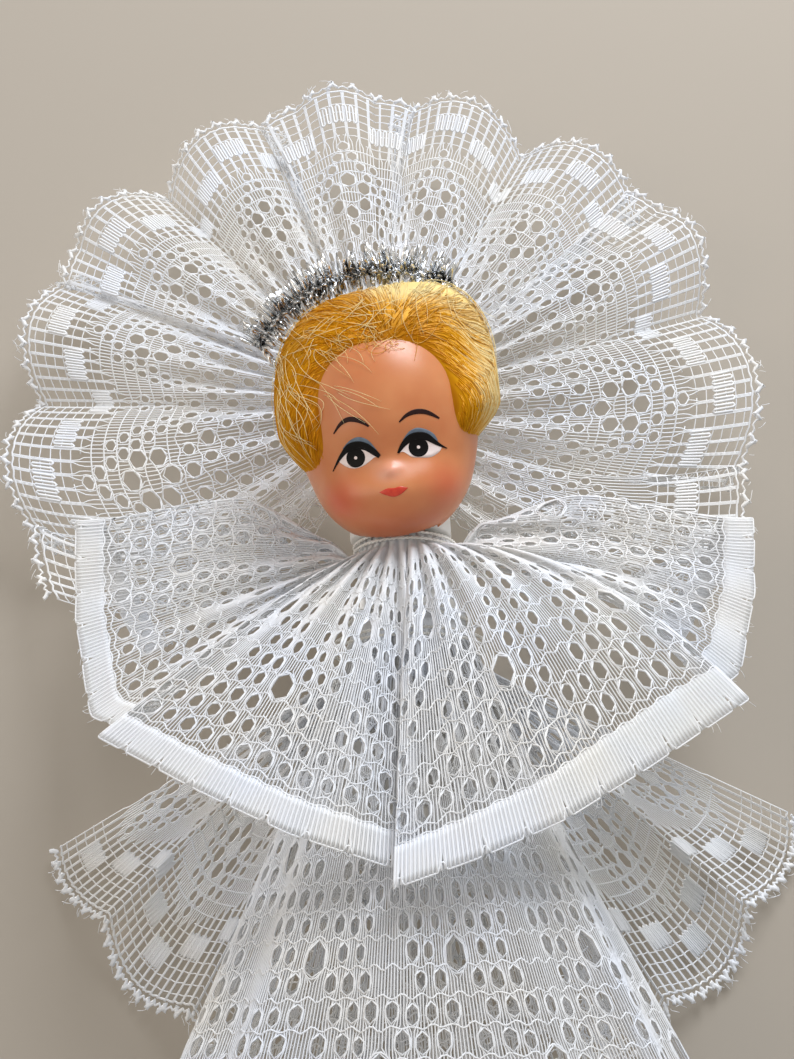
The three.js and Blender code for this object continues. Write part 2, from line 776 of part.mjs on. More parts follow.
const topper = new THREE.Group();
topper.add(
  piece('support_cone', makeSupportCone(), 0xf7f7f4, 0.6, 0),
  piece('neck_plug', makeNeckPlug(), 0xf7f7f4, 0.5, 0),
  headGroup,
  piece('wing_wire', makeWingWire(), 0xf4f4f2, 0.6, 0),
  piece('wing_lace', makeWingLace(), laceWhite, 0.8, 0),
  piece('wing_thread', makeWingThread(), threadWhite, 0.8, 0),
  piece('collar_lace', makeCollarLace(), laceWhite, 0.8, 0),
  piece('collar_thread', makeCollarThread(), threadWhite, 0.8, 0),
  piece('skirt_lace', makeSkirtLace(), laceWhite, 0.8, 0),
  piece('skirt_thread', makeSkirtThread(), threadWhite, 0.8, 0),
  piece('ruffle_lace', makeRuffleLace(), laceWhite, 0.8, 0),
  piece('ruffle_thread', makeRuffleThread(), threadWhite, 0.8, 0),
);

export default topper;
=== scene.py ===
import math

import bpy
import numpy as np
from mathutils import Matrix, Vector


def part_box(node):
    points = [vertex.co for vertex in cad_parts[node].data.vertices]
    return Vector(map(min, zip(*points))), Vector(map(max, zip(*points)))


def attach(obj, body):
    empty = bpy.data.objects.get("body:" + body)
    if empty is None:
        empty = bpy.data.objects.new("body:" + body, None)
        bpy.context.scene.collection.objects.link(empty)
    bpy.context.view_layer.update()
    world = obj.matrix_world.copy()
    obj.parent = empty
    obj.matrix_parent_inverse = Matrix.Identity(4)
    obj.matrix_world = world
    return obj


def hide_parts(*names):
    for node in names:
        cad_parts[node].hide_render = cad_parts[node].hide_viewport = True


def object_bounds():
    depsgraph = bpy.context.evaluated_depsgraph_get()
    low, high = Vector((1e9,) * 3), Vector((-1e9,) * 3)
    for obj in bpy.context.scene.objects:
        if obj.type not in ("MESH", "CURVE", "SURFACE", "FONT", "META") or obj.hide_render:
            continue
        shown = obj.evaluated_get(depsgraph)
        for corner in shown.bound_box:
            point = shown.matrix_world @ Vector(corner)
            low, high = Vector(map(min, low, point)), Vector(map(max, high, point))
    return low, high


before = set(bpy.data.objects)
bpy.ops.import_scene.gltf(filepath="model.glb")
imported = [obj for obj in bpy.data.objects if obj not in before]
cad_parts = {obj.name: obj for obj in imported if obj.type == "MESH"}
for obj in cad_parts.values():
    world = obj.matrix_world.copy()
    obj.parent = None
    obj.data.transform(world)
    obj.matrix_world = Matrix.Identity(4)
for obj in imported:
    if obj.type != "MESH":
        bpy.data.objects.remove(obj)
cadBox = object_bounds()
mm = 0.001
tau = 2 * math.pi
chance = np.random.default_rng(7)
print("frame loaded:", len(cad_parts), "nodes")


# small sums

def mix(a, b, share):
    return a + (b - a) * share


def smooth(value, low, high):
    share = np.clip((value - low) / (high - low), 0, 1)
    return share * share * (3 - 2 * share)


def unit(vectors):
    return vectors / np.maximum(np.linalg.norm(vectors, axis=-1, keepdims=True), 1e-9)


def xyz(x, y, z):
    return np.stack(np.broadcast_arrays(x, y, z), -1)


def runOf(points):
    # how far along a line each of its points is
    return np.concatenate([[0], np.cumsum(np.linalg.norm(np.diff(points, axis=0), axis=-1))])


def throughPoints(points, share):
    # a smooth curve through points, at shares of its stretch
    points = np.asarray(points, float)
    last = len(points) - 1
    place = np.clip(np.asarray(share, float), 0, 1) * last
    i = np.clip(place.astype(int), 0, last - 1)
    t = (place - i)[..., None]
    a, b, c, d = (points[np.clip(i + k, 0, last)] for k in (-1, 0, 1, 2))
    square, cube = 2 * a - 5 * b + 4 * c - d, 3 * b - a - 3 * c + d
    return 0.5 * (2 * b + (c - a) * t + square * t ** 2 + cube * t ** 3)


def shareByLength(curve, steps=400):
    # shares of a curve's parameter that are even along its length, and that length
    share = np.linspace(0, 1, steps + 1)
    run = runOf(curve(share))
    return (lambda along: np.interp(along, run / run[-1], share)), run[-1]


def evenRoute(points, step):
    # even steps along the curve through points, and how far along each is
    shareAt, reach = shareByLength(lambda share: throughPoints(points, share))
    share = np.linspace(0, 1, round(reach / step))
    return throughPoints(points, shareAt(share)), reach * share


# mesh parts are (points in mm, faces, flat places), and a piece is several parts

def bands(near, far):
    # faces from rings of point numbers to the rings after them
    return np.stack([near, np.roll(near, -1, -1), np.roll(far, -1, -1), far], -1).reshape(-1, 4)


def tubes(lines, normals, radius, sides=3, flat=None):
    count, steps = lines.shape[:2]
    along = unit(np.gradient(lines, axis=1))
    side = unit(np.cross(along, normals))
    out = np.cross(side, along)
    turn = tau * np.arange(sides) / sides
    ring = out[:, :, None] * np.cos(turn)[:, None] + side[:, :, None] * np.sin(turn)[:, None]
    thick = np.broadcast_to(np.asarray(radius, float), (count, steps))[..., None, None]
    points = (lines[:, :, None] + thick * ring).reshape(-1, 3)
    index = np.arange(count * steps * sides).reshape(count, steps, sides)
    if flat is not None:
        flat = np.repeat(flat.reshape(-1, 2), sides, 0)
    return points, [bands(index[:, :-1], index[:, 1:]), index[:, 0, ::-1], index[:, -1]], flat


def shell(top, bottom):
    # a closed body between two grids of points
    rows, columns = top.shape[:2]
    points = np.concatenate([top.reshape(-1, 3), bottom.reshape(-1, 3)])
    a = np.arange(rows * columns).reshape(rows, columns)
    b = a + rows * columns
    up = np.stack([a[:-1, :-1], a[:-1, 1:], a[1:, 1:], a[1:, :-1]], -1).reshape(-1, 4)
    down = np.stack([b[:-1, :-1], b[1:, :-1], b[1:, 1:], b[:-1, 1:]], -1).reshape(-1, 4)
    rim = np.concatenate([a[0, :-1], a[:-1, -1], a[-1, :0:-1], a[:0:-1, 0]])
    after = np.roll(rim, -1)
    wall = np.stack([rim, rim + rows * columns, after + rows * columns, after], -1)
    return points, [up, down, wall], None


def lathe(profile, segments=96, middle=(0, 0)):
    # a closed profile of (radius, height) turned about the upright axis or about a middle for each point
    profile = np.asarray(profile, float)
    middle = np.broadcast_to(np.asarray(middle, float), profile.shape)
    turn = tau * np.arange(segments) / segments
    x, y = middle[:, :1] + profile[:, :1] * np.cos(turn), middle[:, 1:] + profile[:, :1] * np.sin(turn)
    index = np.arange(len(profile) * segments).reshape(-1, segments)
    return xyz(x, y, profile[:, 1:]).reshape(-1, 3), [bands(index, np.roll(index, -1, 0))], None


def addObject(name, data):
    thing = bpy.data.objects.new(name, data)
    bpy.context.scene.collection.objects.link(thing)
    return thing


def addPiece(name, parts, body, material, nodes=(), spots=None):
    points = np.concatenate([part[0] for part in parts])
    starts = np.cumsum([0] + [len(part[0]) for part in parts[:-1]])
    corners = [faces + start for part, start in zip(parts, starts) for faces in part[1] if len(faces)]
    sizes = np.concatenate([np.full(len(faces), faces.shape[1]) for faces in corners])
    loops = np.concatenate([faces.ravel() for faces in corners])
    mesh = bpy.data.meshes.new(name)
    mesh.vertices.add(len(points))
    mesh.vertices.foreach_set("co", (points * mm).astype(np.float32).ravel())
    mesh.loops.add(len(loops))
    mesh.loops.foreach_set("vertex_index", loops.astype(np.int32))
    mesh.polygons.add(len(sizes))
    mesh.polygons.foreach_set("loop_start", np.concatenate([[0], np.cumsum(sizes)[:-1]]).astype(np.int32))
    mesh.update(calc_edges=True)
    mesh.polygons.foreach_set("use_smooth", np.ones(len(sizes), bool))
    if all(part[2] is not None for part in parts):
        flat = np.concatenate([part[2] for part in parts])
        mesh.uv_layers.new(name="OFBake").data.foreach_set("uv", flat[loops].astype(np.float32).ravel())
    for key, values in (spots or {}).items():
        layer = mesh.attributes.new(key, "FLOAT_VECTOR", "POINT")
        layer.data.foreach_set("vector", np.asarray(values, np.float32).ravel())
    mesh.materials.append(material)
    piece = addObject(name, mesh)
    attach(piece, body)
    if nodes:
        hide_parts(*nodes)
    print(f"{name}: {len(points)} points, {len(sizes)} faces")
    return piece


# materials

def linear(hexText):
    parts = [int(hexText[i:i + 2], 16) / 255 for i in (1, 3, 5)]
    return [p / 12.92 if p <= 0.04045 else ((p + 0.055) / 1.055) ** 2.4 for p in parts] + [1.0]


def addNode(tree, kind, settings=None, links=None):
    # settings name the node's own properties or its inputs, links give an input its source
    node = tree.nodes.new("ShaderNode" + kind)
    for key, value in (settings or {}).items():
        if key == "stops":
            ramp = node.color_ramp
            while len(ramp.elements) < len(value):
                ramp.elements.new(0.5)
            for element, (place, colour) in zip(ramp.elements, value):
                element.position = place
                element.color = linear(colour)
        elif isinstance(key, str) and hasattr(node, key):
            setattr(node, key, value)
        else:
            node.inputs[key].default_value = value
    for key, (source, output) in (links or {}).items():
        tree.links.new(source.outputs[output], node.inputs[key])
    return node


def newMaterial(name):
    material = bpy.data.materials.new(name)
    material.use_nodes = True
    material.node_tree.nodes.clear()
    return material, material.node_tree


def finishMaterial(tree, settings, links):
    shader = addNode(tree, "BsdfPrincipled", settings, links)
    addNode(tree, "OutputMaterial", None, {"Surface": (shader, "BSDF")})


def mottled(name, patch, detail, stops, settings, rough=None):
    # its colour, and its roughness where a range is given, go with a noise whose patches are in mm
    material, tree = newMaterial(name)
    place = addNode(tree, "TexCoord")
    size = {"Scale": 1 / (patch * mm), "Detail": detail}
    noise = addNode(tree, "TexNoise", size, {"Vector": (place, "Object")})
    tone = addNode(tree, "ValToRGB", {"stops": stops}, {"Fac": (noise, "Fac")})
    links = {"Base Color": (tone, "Color")}
    if rough:
        span = {"To Min": rough[0], "To Max": rough[1]}
        links["Roughness"] = addNode(tree, "MapRange", span, {"Value": (noise, "Fac")}), "Result"
    finishMaterial(tree, settings, links)
    return material


def addFacePatch(tree, spot, middle, size, colour, strength, under):
    # a soft patch of colour round a place on the face, over the colour so far: it serves for airbrushed
    # blush, for painted shade and for a painted highlight
    off = addNode(tree, "VectorMath", {"operation": "SUBTRACT", 1: middle}, {0: (spot, "Vector")})
    scaled = addNode(tree, "VectorMath", {"operation": "DIVIDE", 1: size}, {0: (off, "Vector")})
    away = addNode(tree, "VectorMath", {"operation": "LENGTH"}, {0: (scaled, "Vector")})
    fade = {"interpolation_type": "SMOOTHSTEP", "From Min": 1, "From Max": 0, "To Min": 0, "To Max": strength}
    share = addNode(tree, "MapRange", fade, {"Value": (away, "Value")})
    over = {"data_type": "RGBA", 7: linear(colour)}   # sockets 6 and 7 are the two colours
    return addNode(tree, "Mix", over, {0: (share, "Result"), 6: under})


def mouldedVinyl(face):
    # soft rotocast vinyl: peach orange right through, glossy, with airbrushed cheeks, painted shade over the
    # lower face and a painted highlight between the nose and the mouth
    material, tree = newMaterial("rotocastVinyl")
    spot = addNode(tree, "Attribute", {"attribute_name": "facePlace"})
    blotch = addNode(tree, "TexNoise", {"Scale": 0.12, "Detail": 3}, {"Vector": (spot, "Vector")})
    colour = addNode(tree, "ValToRGB", {"stops": face["skin"]}, {"Fac": (blotch, "Fac")})
    under = (colour, "Color")
    # airbrushed blush, painted shade and a painted highlight, one over the other
    for middle, size, tint, strength in face["blushAndPaintedLight"]:
        under = (addFacePatch(tree, spot, middle, size, tint, strength, under), 2)
    grain = addNode(tree, "TexNoise", {"Scale": 1.6, "Detail": 4}, {"Vector": (spot, "Vector")})
    rough = addNode(tree, "MapRange", {"To Min": 0.26, "To Max": 0.4}, {"Value": (grain, "Fac")})
    relief = {"Strength": 0.05, "Distance": 0.1 * mm}
    bump = addNode(tree, "Bump", relief, {"Height": (grain, "Fac")})
    settings = {"IOR": 1.53, "Subsurface Weight": 0.15, "Subsurface Scale": 1.2 * mm,
                "Subsurface Radius": (1.0, 0.35, 0.2)}
    links = {"Base Color": under, "Roughness": (rough, "Result"), "Normal": (bump, "Normal")}
    finishMaterial(tree, settings, links)
    return material


def combedSaran(name, low, high):
    # saran doll hair: smooth filaments, whose gloss is golden because light comes back from inside them.
    # it is orange inside the bob, with a painted highlight of pale straw on the ridge to the right of the
    # crown and down that side
    material, tree = newMaterial(name)
    strand = addNode(tree, "Attribute", {"attribute_name": "strand"})
    parts = addNode(tree, "SeparateXYZ", None, {"Vector": (strand, "Vector")})
    streak = addNode(tree, "TexNoise", {"Scale": 1.0, "Detail": 3}, {"Vector": (strand, "Vector")})
    blend = {"operation": "MULTIPLY_ADD", 1: 0.5}
    pale = addNode(tree, "Math", blend, {0: (streak, "Fac"), 2: (parts, "Z")})
    stops = [(0.15, low), (0.5, "#e0a012"), (0.85, high)]
    tone = addNode(tree, "ValToRGB", {"stops": stops}, {"Fac": (pale, "Value")})
    relief = {"Strength": 0.35, "Distance": 0.15 * mm}
    bump = addNode(tree, "Bump", relief, {"Height": (streak, "Fac")})
    links = {"Base Color": (tone, "Color"), "Normal": (bump, "Normal")}
    finishMaterial(tree, {"Roughness": 0.34, "IOR": 1.55, "Specular Tint": linear("#f6c860")}, links)
    return material


# warp-knitted nylon: bluish white where it is clean, a little creamier in patches, with a soft silky gloss
laceWhite = mottled("knittedNylonLace", 18, 2, [(0.35, "#eef1f6"), (0.7, "#f1efea")],
                    {"Roughness": 0.5, "IOR": 1.53, "Sheen Weight": 0.15})
# cotton sewing thread: warm white, matt and hairy, the plies a little darker between them
threadWhite = mottled("twistedCottonThread", 1.5, 3, [(0.3, "#e6e2d8"), (0.7, "#f6f4ee")],
                      {"Roughness": 0.85, "IOR": 1.5, "Sheen Weight": 0.2})
# injection moulded polystyrene: white, satin, with a faint flow mottle
styrene = mottled("mouldedPolystyrene", 6, 4, [(0.3, "#ece9e2"), (0.7, "#f5f3ee")],
                  {"IOR": 1.59}, (0.36, 0.5))
# aluminised film cut to tinsel: mirror bright, dulled and greyed in places by age
foil = mottled("aluminisedFilm", 1.2, 2, [(0.32, "#b3b7bb"), (0.5, "#dfe2e5"), (0.62, "#f5f6f7")],
               {"Metallic": 1.0}, (0.12, 0.3))
print("plain materials made")


# lace: pillars, cross threads and outlined holes, laid out flat and then put on the cloth's folds.
# a flat place is (s, w), in mm along the strip and in mm from its hem inwards

def partRound(s, w, holes, repeat, kind):
    # pillars part to both sides of a hole, and cross threads pass over or under it
    sharp = 6
    moved = np.zeros_like(s)
    for holeS, holeW, radius in holes:
        offS = s - holeS
        offS = offS - repeat * np.round(offS / repeat)
        off, other = (offS, w - holeW) if kind == "pillar" else (w - holeW, offS)
        half = np.sqrt(np.maximum(radius ** 2 - other ** 2, 0))
        away = np.abs(off)
        moved += np.where(off < 0, -1, 1) * ((away ** sharp + half ** sharp) ** (1 / sharp) - away)
    return (s + moved, w) if kind == "pillar" else (s, w + moved)


def layThreads(sets, cloth, holes, repeat):
    place, reach = cloth["place"], 0.05
    parts = []
    for kind, s, w, radius, sides in sets:
        s, w = np.broadcast_arrays(np.asarray(s, float), np.asarray(w, float))
        if kind != "plain":
            s, w = partRound(s - cloth["origin"], w, holes, repeat, kind)
            s = s + cloth["origin"]
        s = np.clip(s, 0, cloth["length"])
        across = place(s + reach, w) - place(s - reach, w)
        down = place(s, w + reach) - place(s, w - reach)
        flat = np.stack([s / cloth["length"], np.clip(w / cloth["width"], 0, 1)], -1)
        parts.append(tubes(place(s, w), unit(np.cross(across, down)), radius, sides, flat))
    return parts


def rowThread(stretch, step):
    return np.linspace(*stretch, max(2, round((stretch[1] - stretch[0]) / step)))[None]


def copiesIn(cloth, stretch, local, repeat, margin):
    # the places in a stretch where a spot of the repeat comes back
    first = math.floor((stretch[0] - cloth["origin"]) / repeat) - 1
    count = 3 + math.ceil((stretch[1] - stretch[0]) / repeat)
    places = cloth["origin"] + local + repeat * np.arange(first, first + count)
    inside = (places >= stretch[0]) & (places < stretch[1])
    return places[inside & (places > margin) & (places < cloth["length"] - margin)]


def ringThreads(cloth, stretch, lace, corners=6):
    # the thread that outlines each hole, a little uneven
    turn = tau * np.arange(corners + 1) / corners
    rings = []
    for k, (holeS, holeW, size) in enumerate(cloth["holes"]):
        around = size * (1 + 0.06 * np.sin(3 * turn + 1.7 * k))
        for place in copiesIn(cloth, stretch, holeS, lace["repeat"], size):
            rings.append((place + around * np.sin(turn), holeW + around * np.cos(turn)))
    rings = np.array(rings)
    return "plain", rings[:, 0], rings[:, 1], lace["outline"], 3


def groundRows(cloth, lace, run, rows):
    # wavy cross threads between the rows of holes
    phase = (run - cloth["origin"]) * lace["across"] / lace["repeat"]
    levels = lace["firstRow"] + (np.arange(rows) - 0.5) * lace["row"]
    waves = [lace["wave"] * np.cos(tau * (phase - 0.5 * (j % 2))) for j in range(rows)]
    return [("cross", run, level + wave, lace["outline"], 3) for level, wave in zip(levels, waves)]


def looseEnds(stretch, lace):
    # loose ends of filament at the rim
    count, start, reach, lean, radius = lace["whiskers"]
    root = chance.uniform(stretch[0] + 2, stretch[1] - 2, (count, 1))
    share = np.linspace(0, 1, 4)[None]
    sway = chance.normal(0, lean, root.shape) * share ** 2
    return "plain", root + sway, start - chance.uniform(*reach, root.shape) * share, radius, 3


hemmed = {
    "repeat": 34.0,              # mm of lace from one large hole to the next
    "pillarPitch": 0.7, "pillar": 0.14, "rib": 0.23,
    "hole": 1.6, "across": 8, "row": 4.0, "firstRow": 8.6, "wave": 0.45, "outline": 0.2,
    "jitter": (0.2, 0.16), "holeSizes": (0.8, 1.06), "holeGap": 0.6,
    "largeHole": 2.6, "largeRow": 15.0, "firstLarge": 21.0,
    "leaf": (3.0, 7.5),          # half width and half length of a slanting patch without holes
    "leafRise": 1.5, "leafLean": 0.4,
    "band": 5.4, "bandCord": 0.2, "notches": 5, "notch": 0.55, "notchDepth": 1.1, "cord": 0.15,
    "whiskers": (60, 0.0, (0.4, 1.4), 0.5, 0.05),   # how many, start, reach, lean and radius
}


def hemmedHoles(width):
    h, repeat = hemmed, hemmed["repeat"]
    large, leaves, holes = [], [], []
    for k, level in enumerate(np.arange(h["firstLarge"], width - 8, h["largeRow"])):
        odd = k % 2
        large.append((repeat * (0.25 + 0.5 * odd), level, h["largeHole"]))
        leaves.append((repeat * (0.75 - 0.5 * odd), level + h["leafRise"], 1 - 2 * odd))

    def apart(s, other):
        return s - other - repeat * round((s - other) / repeat)

    def inLeaf(s, w, middle, level, lean):
        wide, tall = h["leaf"]
        across = apart(s, middle) - h["leafLean"] * lean * (w - level)
        return math.hypot(across / wide, (w - level) / tall) < 1

    for j in range(int((width - h["firstRow"] - 4) / h["row"])):
        for k in range(h["across"]):
            s = (k + 0.5 * (j % 2)) * repeat / h["across"] + chance.normal(0, h["jitter"][0])
            w = h["firstRow"] + j * h["row"] + chance.normal(0, h["jitter"][1])
            size = h["hole"] * chance.uniform(*h["holeSizes"])
            isNear = any(math.hypot(apart(s, place), w - level) < reach + size + h["holeGap"]
                         for place, level, reach in large)
            if not isNear and not any(inLeaf(s, w, *leaf) for leaf in leaves):
                holes.append((s, w, size))
    return large + holes


def hemmedParts(cloth, stretch):
    h, repeat, width = hemmed, hemmed["repeat"], cloth["width"]
    s = np.arange(stretch[0] + h["pillarPitch"] / 2, stretch[1], h["pillarPitch"])[:, None]
    fall = np.linspace(0.1, width, round(width / 0.95))[None]
    band = np.linspace(0.1, h["band"], 6)[None]
    run, along = rowThread(stretch, 0.9), rowThread(stretch, 0.3)
    apart = (along - cloth["origin"]) * h["notches"] / repeat
    dip = np.exp(-((apart - np.floor(apart) - 0.5) * repeat / h["notches"] / h["notch"]) ** 4)
    edge = h["band"] + 0.25 * np.cos(tau * (run - cloth["origin"]) * h["across"] / repeat)
    sets = [("pillar", s, fall, h["pillar"], 3),
            ("pillar", s, band, h["rib"], 4),
            ("pillar", s + h["pillarPitch"] / 2, band, h["rib"] / 2, 3),
            *groundRows(cloth, h, run, int((width - h["firstRow"]) / h["row"])),
            ringThreads(cloth, stretch, h),
            ("plain", run, edge, h["bandCord"], 3),
            ("plain", along, h["notchDepth"] * dip, h["cord"], 4),
            looseEnds(stretch, h)]
    notches = [((k + 0.5) * repeat / h["notches"], 0.7, h["notch"]) for k in range(h["notches"])]
    return layThreads(sets, cloth, cloth["holes"] + notches, repeat)


scalloped = {
    "repeat": 34.0,              # mm of lace in a scallop
    "pillars": 48, "pillar": 0.14, "bunch": 0.17,   # pillars go in threes through the square net
    "arch": (6.6, 15.2),         # level of the filled block at a tip, and how much deeper the others lie
    "blocks": 4, "block": (6.0, 4.2), "blockRuns": 12, "blockThread": 0.28,
    "netTop": 2.4, "netRow": 1.9, "net": 0.13, "netBelow": 5.2, "netFade": (1.2, -0.6),
    "chevron": (14.6, 1.45, 2.45), "chevronHole": 1.15,
    "valley": (21.0, 5.2), "valleyHole": 1.05,      # the group of holes between two chevrons
    "flower": 26.5, "petals": 6, "petalRing": 3.9, "petal": 1.75,
    "firstRow": 34.5, "row": 4.1, "hole": 1.5, "across": 8, "wave": 0.45, "outline": 0.17,
    "jitter": 0.2, "holeSizes": (0.8, 1.05),
    "picotForm": (0.34, 0.25, 0.55, 0.85),          # half width, root, middle and half height of a loop
    "picot": 1.55, "tuft": 3.7, "picotThread": 0.2, "knob": 0.24, "rimCord": (1.15, 0.15, 2.3, 0.22),
    "whiskers": (70, -0.8, (0.4, 1.6), 1.1, 0.06),
}


def archLevel(local):
    phase = local / scalloped["repeat"]
    return scalloped["arch"][0] + scalloped["arch"][1] * np.abs(phase - np.round(phase))


def scallopedHoles(width):
    c, repeat = scalloped, scalloped["repeat"]
    top, along, down = c["chevron"]
    low, step = c["valley"]
    hole, small = c["chevronHole"], c["valleyHole"]
    holes = [(0.0, top, hole)]
    for side in (-1, 1):
        holes += [(side * along * k, top + down * k, hole) for k in range(1, 8)]
        holes += [(side * (3.0 + along * k), top + down * k, 0.95 * hole) for k in range(2, 7)]
        holes += [(repeat / 2 + side * 1.5, low + step * (k + 0.5), small) for k in range(2)]
    holes += [(repeat / 2, low + step * k, small) for k in range(3)]
    ring = c["petalRing"]
    for turn in tau * np.arange(c["petals"]) / c["petals"]:
        holes.append((ring * math.sin(turn), c["flower"] + ring * math.cos(turn), c["petal"]))
    for j in range(int((width - c["firstRow"]) / c["row"])):
        for k in range(c["across"]):
            s = (k + 0.5 * (j % 2)) * repeat / c["across"] + chance.normal(0, c["jitter"])
            holes.append((s, c["firstRow"] + j * c["row"], c["hole"] * chance.uniform(*c["holeSizes"])))
    return holes


def serpentine(middles, levels):
    # one thread to and fro through each filled block
    wide, tall = scalloped["block"]
    runs = scalloped["blockRuns"]
    s, w = [], []
    for k in range(runs):
        place = wide * (k / (runs - 1) - 0.5)
        turn = 1 - 2 * (k % 2)
        s += [place, place, place + wide / (runs - 1) / 2]
        w += [-turn * tall * 0.42, turn * tall * 0.42, turn * tall * 0.5]
    s, w = middles[:, None] + np.array(s[:-1]), levels[:, None] + np.array(w[:-1])
    return "plain", s, w, scalloped["blockThread"], 3


def scallopedParts(cloth, stretch):
    c, repeat, origin, width = scalloped, scalloped["repeat"], cloth["origin"], cloth["width"]
    pitch = repeat / c["pillars"]
    first, last = ((edge - origin) / pitch for edge in stretch)
    count = np.arange(math.ceil(first), math.floor(last))[:, None]
    local = (count + 0.5) * pitch
    bunched = (np.floor(count / 3) + 0.5) * 3 * pitch + (count % 3 - 1) * c["bunch"]
    w = np.linspace(0.9, width, round(width / 1.05))[None]
    netEnd = archLevel(local) + c["netBelow"]
    netted = smooth(w, *(netEnd + past for past in c["netFade"]))
    sets = [("pillar", origin + mix(local, bunched, netted), w, c["pillar"], 3)]
    run = rowThread(stretch, 1.0)

    def belowNet(level):
        # half the width of the ground inside a scallop, at a level
        return (level - c["netBelow"] - c["arch"][0]) * repeat / c["arch"][1]

    for level in np.arange(c["netTop"], c["arch"][0] + c["arch"][1] / 2 + c["netBelow"], c["netRow"]):
        if belowNet(level) <= 0:
            sets.append(("plain", run, level + 0.08 * np.sin(2.1 * run + level), c["net"], 3))
            continue
        valleys = copiesIn(cloth, stretch, repeat / 2, repeat, repeat / 2)[:, None]
        reach = np.linspace(-1, 1, 16) * (repeat / 2 - belowNet(level))
        sets.append(("plain", valleys + reach, level, c["net"], 3))
    for level in np.arange(c["chevron"][0] + 1.2, c["firstRow"] - 3, c["chevron"][2]):
        half = min(belowNet(level), repeat / 2)
        tips = copiesIn(cloth, stretch, 0.0, repeat, half)[:, None]
        sets.append(("cross", tips + np.linspace(-1, 1, 28) * half, level, c["outline"], 3))
    sets += groundRows(cloth, c, run, int((width - c["firstRow"]) / c["row"]) + 1)
    sets.append(ringThreads(cloth, stretch, c))
    for k in range(c["blocks"]):
        middles = copiesIn(cloth, stretch, k * repeat / c["blocks"], repeat, c["block"][0] / 2)
        sets.append(serpentine(middles, archLevel(middles - origin)))
    # a looping cord at the rim, which swells to a picot in every tuft
    along = rowThread(stretch, 0.17)
    swell = mix(0.35, 1.0, smooth(np.cos(tau * along / c["tuft"]), -0.3, 0.6))
    turn = tau * along / c["picot"]
    wide, root, middle, tall = c["picotForm"]
    loop = along - wide * swell * np.sin(2 * turn), root - swell * (middle + tall * np.cos(turn))
    sets.append(("plain", *loop, c["picotThread"] + c["knob"] * smooth(swell, 0.5, 1.0), 4))
    level, wave, length, radius = c["rimCord"]
    sets.append(("plain", run, level + wave * np.sin(tau * run / length), radius, 3))
    sets.append(looseEnds(stretch, c))
    return layThreads(sets, cloth, cloth["holes"], repeat)


def addLace(name, makeParts, cloth):
    # each strip is two pieces, which meet in its middle
    half = cloth["length"] / 2
    for side, stretch in (("left", (0, half)), ("right", (half, cloth["length"]))):
        parts = makeParts(cloth, stretch)
        piece = addPiece(f"{name}_{side}", parts, "dress", laceWhite, [cloth["node"]])


# the wheel of lace behind the head

wheel = {
    "node": "wing_lace", "slot": "scalloped_lace",
    "middle": (-3.3, 15.39, 83.0), "inner": 12.5, "width": 61.5,
    "angles": (-121.0, 118.0),   # degrees from straight up, to the viewer's right
    "pitch": 22.9, "tip": -6.0, "scallop": 4.5, "flute": 4.2,
    # valleys in lobes from the top one, where the lace doubles over: 1 if the left lobe lies in front
    "folds": [(-4.5, 1), (-2.5, -1), (-0.5, -1), (0.5, 1), (2.5, -1), (4.5, -1)],
    "foldReach": 0.2, "foldAngle": 4.4, "foldDepth": 2.0,
    # how far each lobe lies back
    "lobes": [-0.8, 0.5, 0.2, -0.8, 0.3, -1.2, 1.2, 1.3, -0.9, 0.4, -0.9],
    "gathers": 3, "gatherDepth": 1.3,
    # over these lobes the lace swings down beside the jaw: for the left and the right, degrees at the hoop
    # and at the rim, and how soon it eases from one to the other
    "swingOver": (3.3, 5.4), "swing": [(44.0, 4.0, 2.0), (46.0, 14.0, 0.85)],
}
wheel["phases"] = [(angle - wheel["tip"]) / wheel["pitch"] for angle in wheel["angles"]]
wheel["length"] = scalloped["repeat"] * (wheel["phases"][1] - wheel["phases"][0])
wheel["origin"] = -scalloped["repeat"] * wheel["phases"][0]
wheel["holes"] = scallopedHoles(wheel["width"])


def lobe(phase):
    # broad rounded lobes with a sharp valley between them
    return 2 * np.abs(np.cos(math.pi * phase)) ** 0.9 - 1


def wheelForm(phase, flatPhase, v):
    # phase counts the lobes of the folded wheel, flatPhase the scallops of its lace
    middleX, middleY, middleZ = wheel["middle"]
    half = len(wheel["lobes"]) // 2
    depth = np.interp(phase, np.arange(-half, half + 1), wheel["lobes"]) - wheel["flute"] * lobe(phase)
    inner, outer, ease = (np.where(phase < 0, left, right) for left, right in zip(*wheel["swing"]))
    swing = mix(inner, outer, np.clip(v, 0, 1) ** ease) * smooth(np.abs(phase), *wheel["swingOver"])
    angle = wheel["tip"] + wheel["pitch"] * phase + np.sign(phase) * swing
    for valley, side in wheel["folds"]:
        bend = np.sin(math.pi * np.clip((phase - valley) / wheel["foldReach"], -1, 1))
        angle = angle - wheel["foldAngle"] * bend * np.minimum(v, 1)
        depth = depth + side * wheel["foldDepth"] * bend
    rim = wheel["inner"] + wheel["width"] - wheel["scallop"] * (1 - np.abs(np.cos(math.pi * flatPhase)))
    radius = mix(wheel["inner"], rim, v)
    gather = wheel["gatherDepth"] * np.sin(tau * wheel["gathers"] * phase)
    y = middleY + depth * np.maximum(v, 0) ** 1.2 + gather * smooth(v, 0, 0.1) * smooth(v, 0.75, 0.2)
    turn = np.radians(angle)
    return xyz(middleX + radius * np.sin(turn), y, middleZ + radius * np.cos(turn))


def evenLobes():
    # phases of the folded wheel that are even along its rim within each lobe
    phase = np.linspace(-7.5, 7.5, 3001)
    run = runOf(wheelForm(phase, phase, 1.0))
    number = np.floor(phase + 0.5)
    start, end = np.interp(number - 0.5, phase, run), np.interp(number + 0.5, phase, run)
    flatPhase = number - 0.5 + (run - start) / np.maximum(end - start, 1e-6)
    return lambda flat: np.interp(flat, flatPhase, phase)


wheel["phaseAt"] = evenLobes()


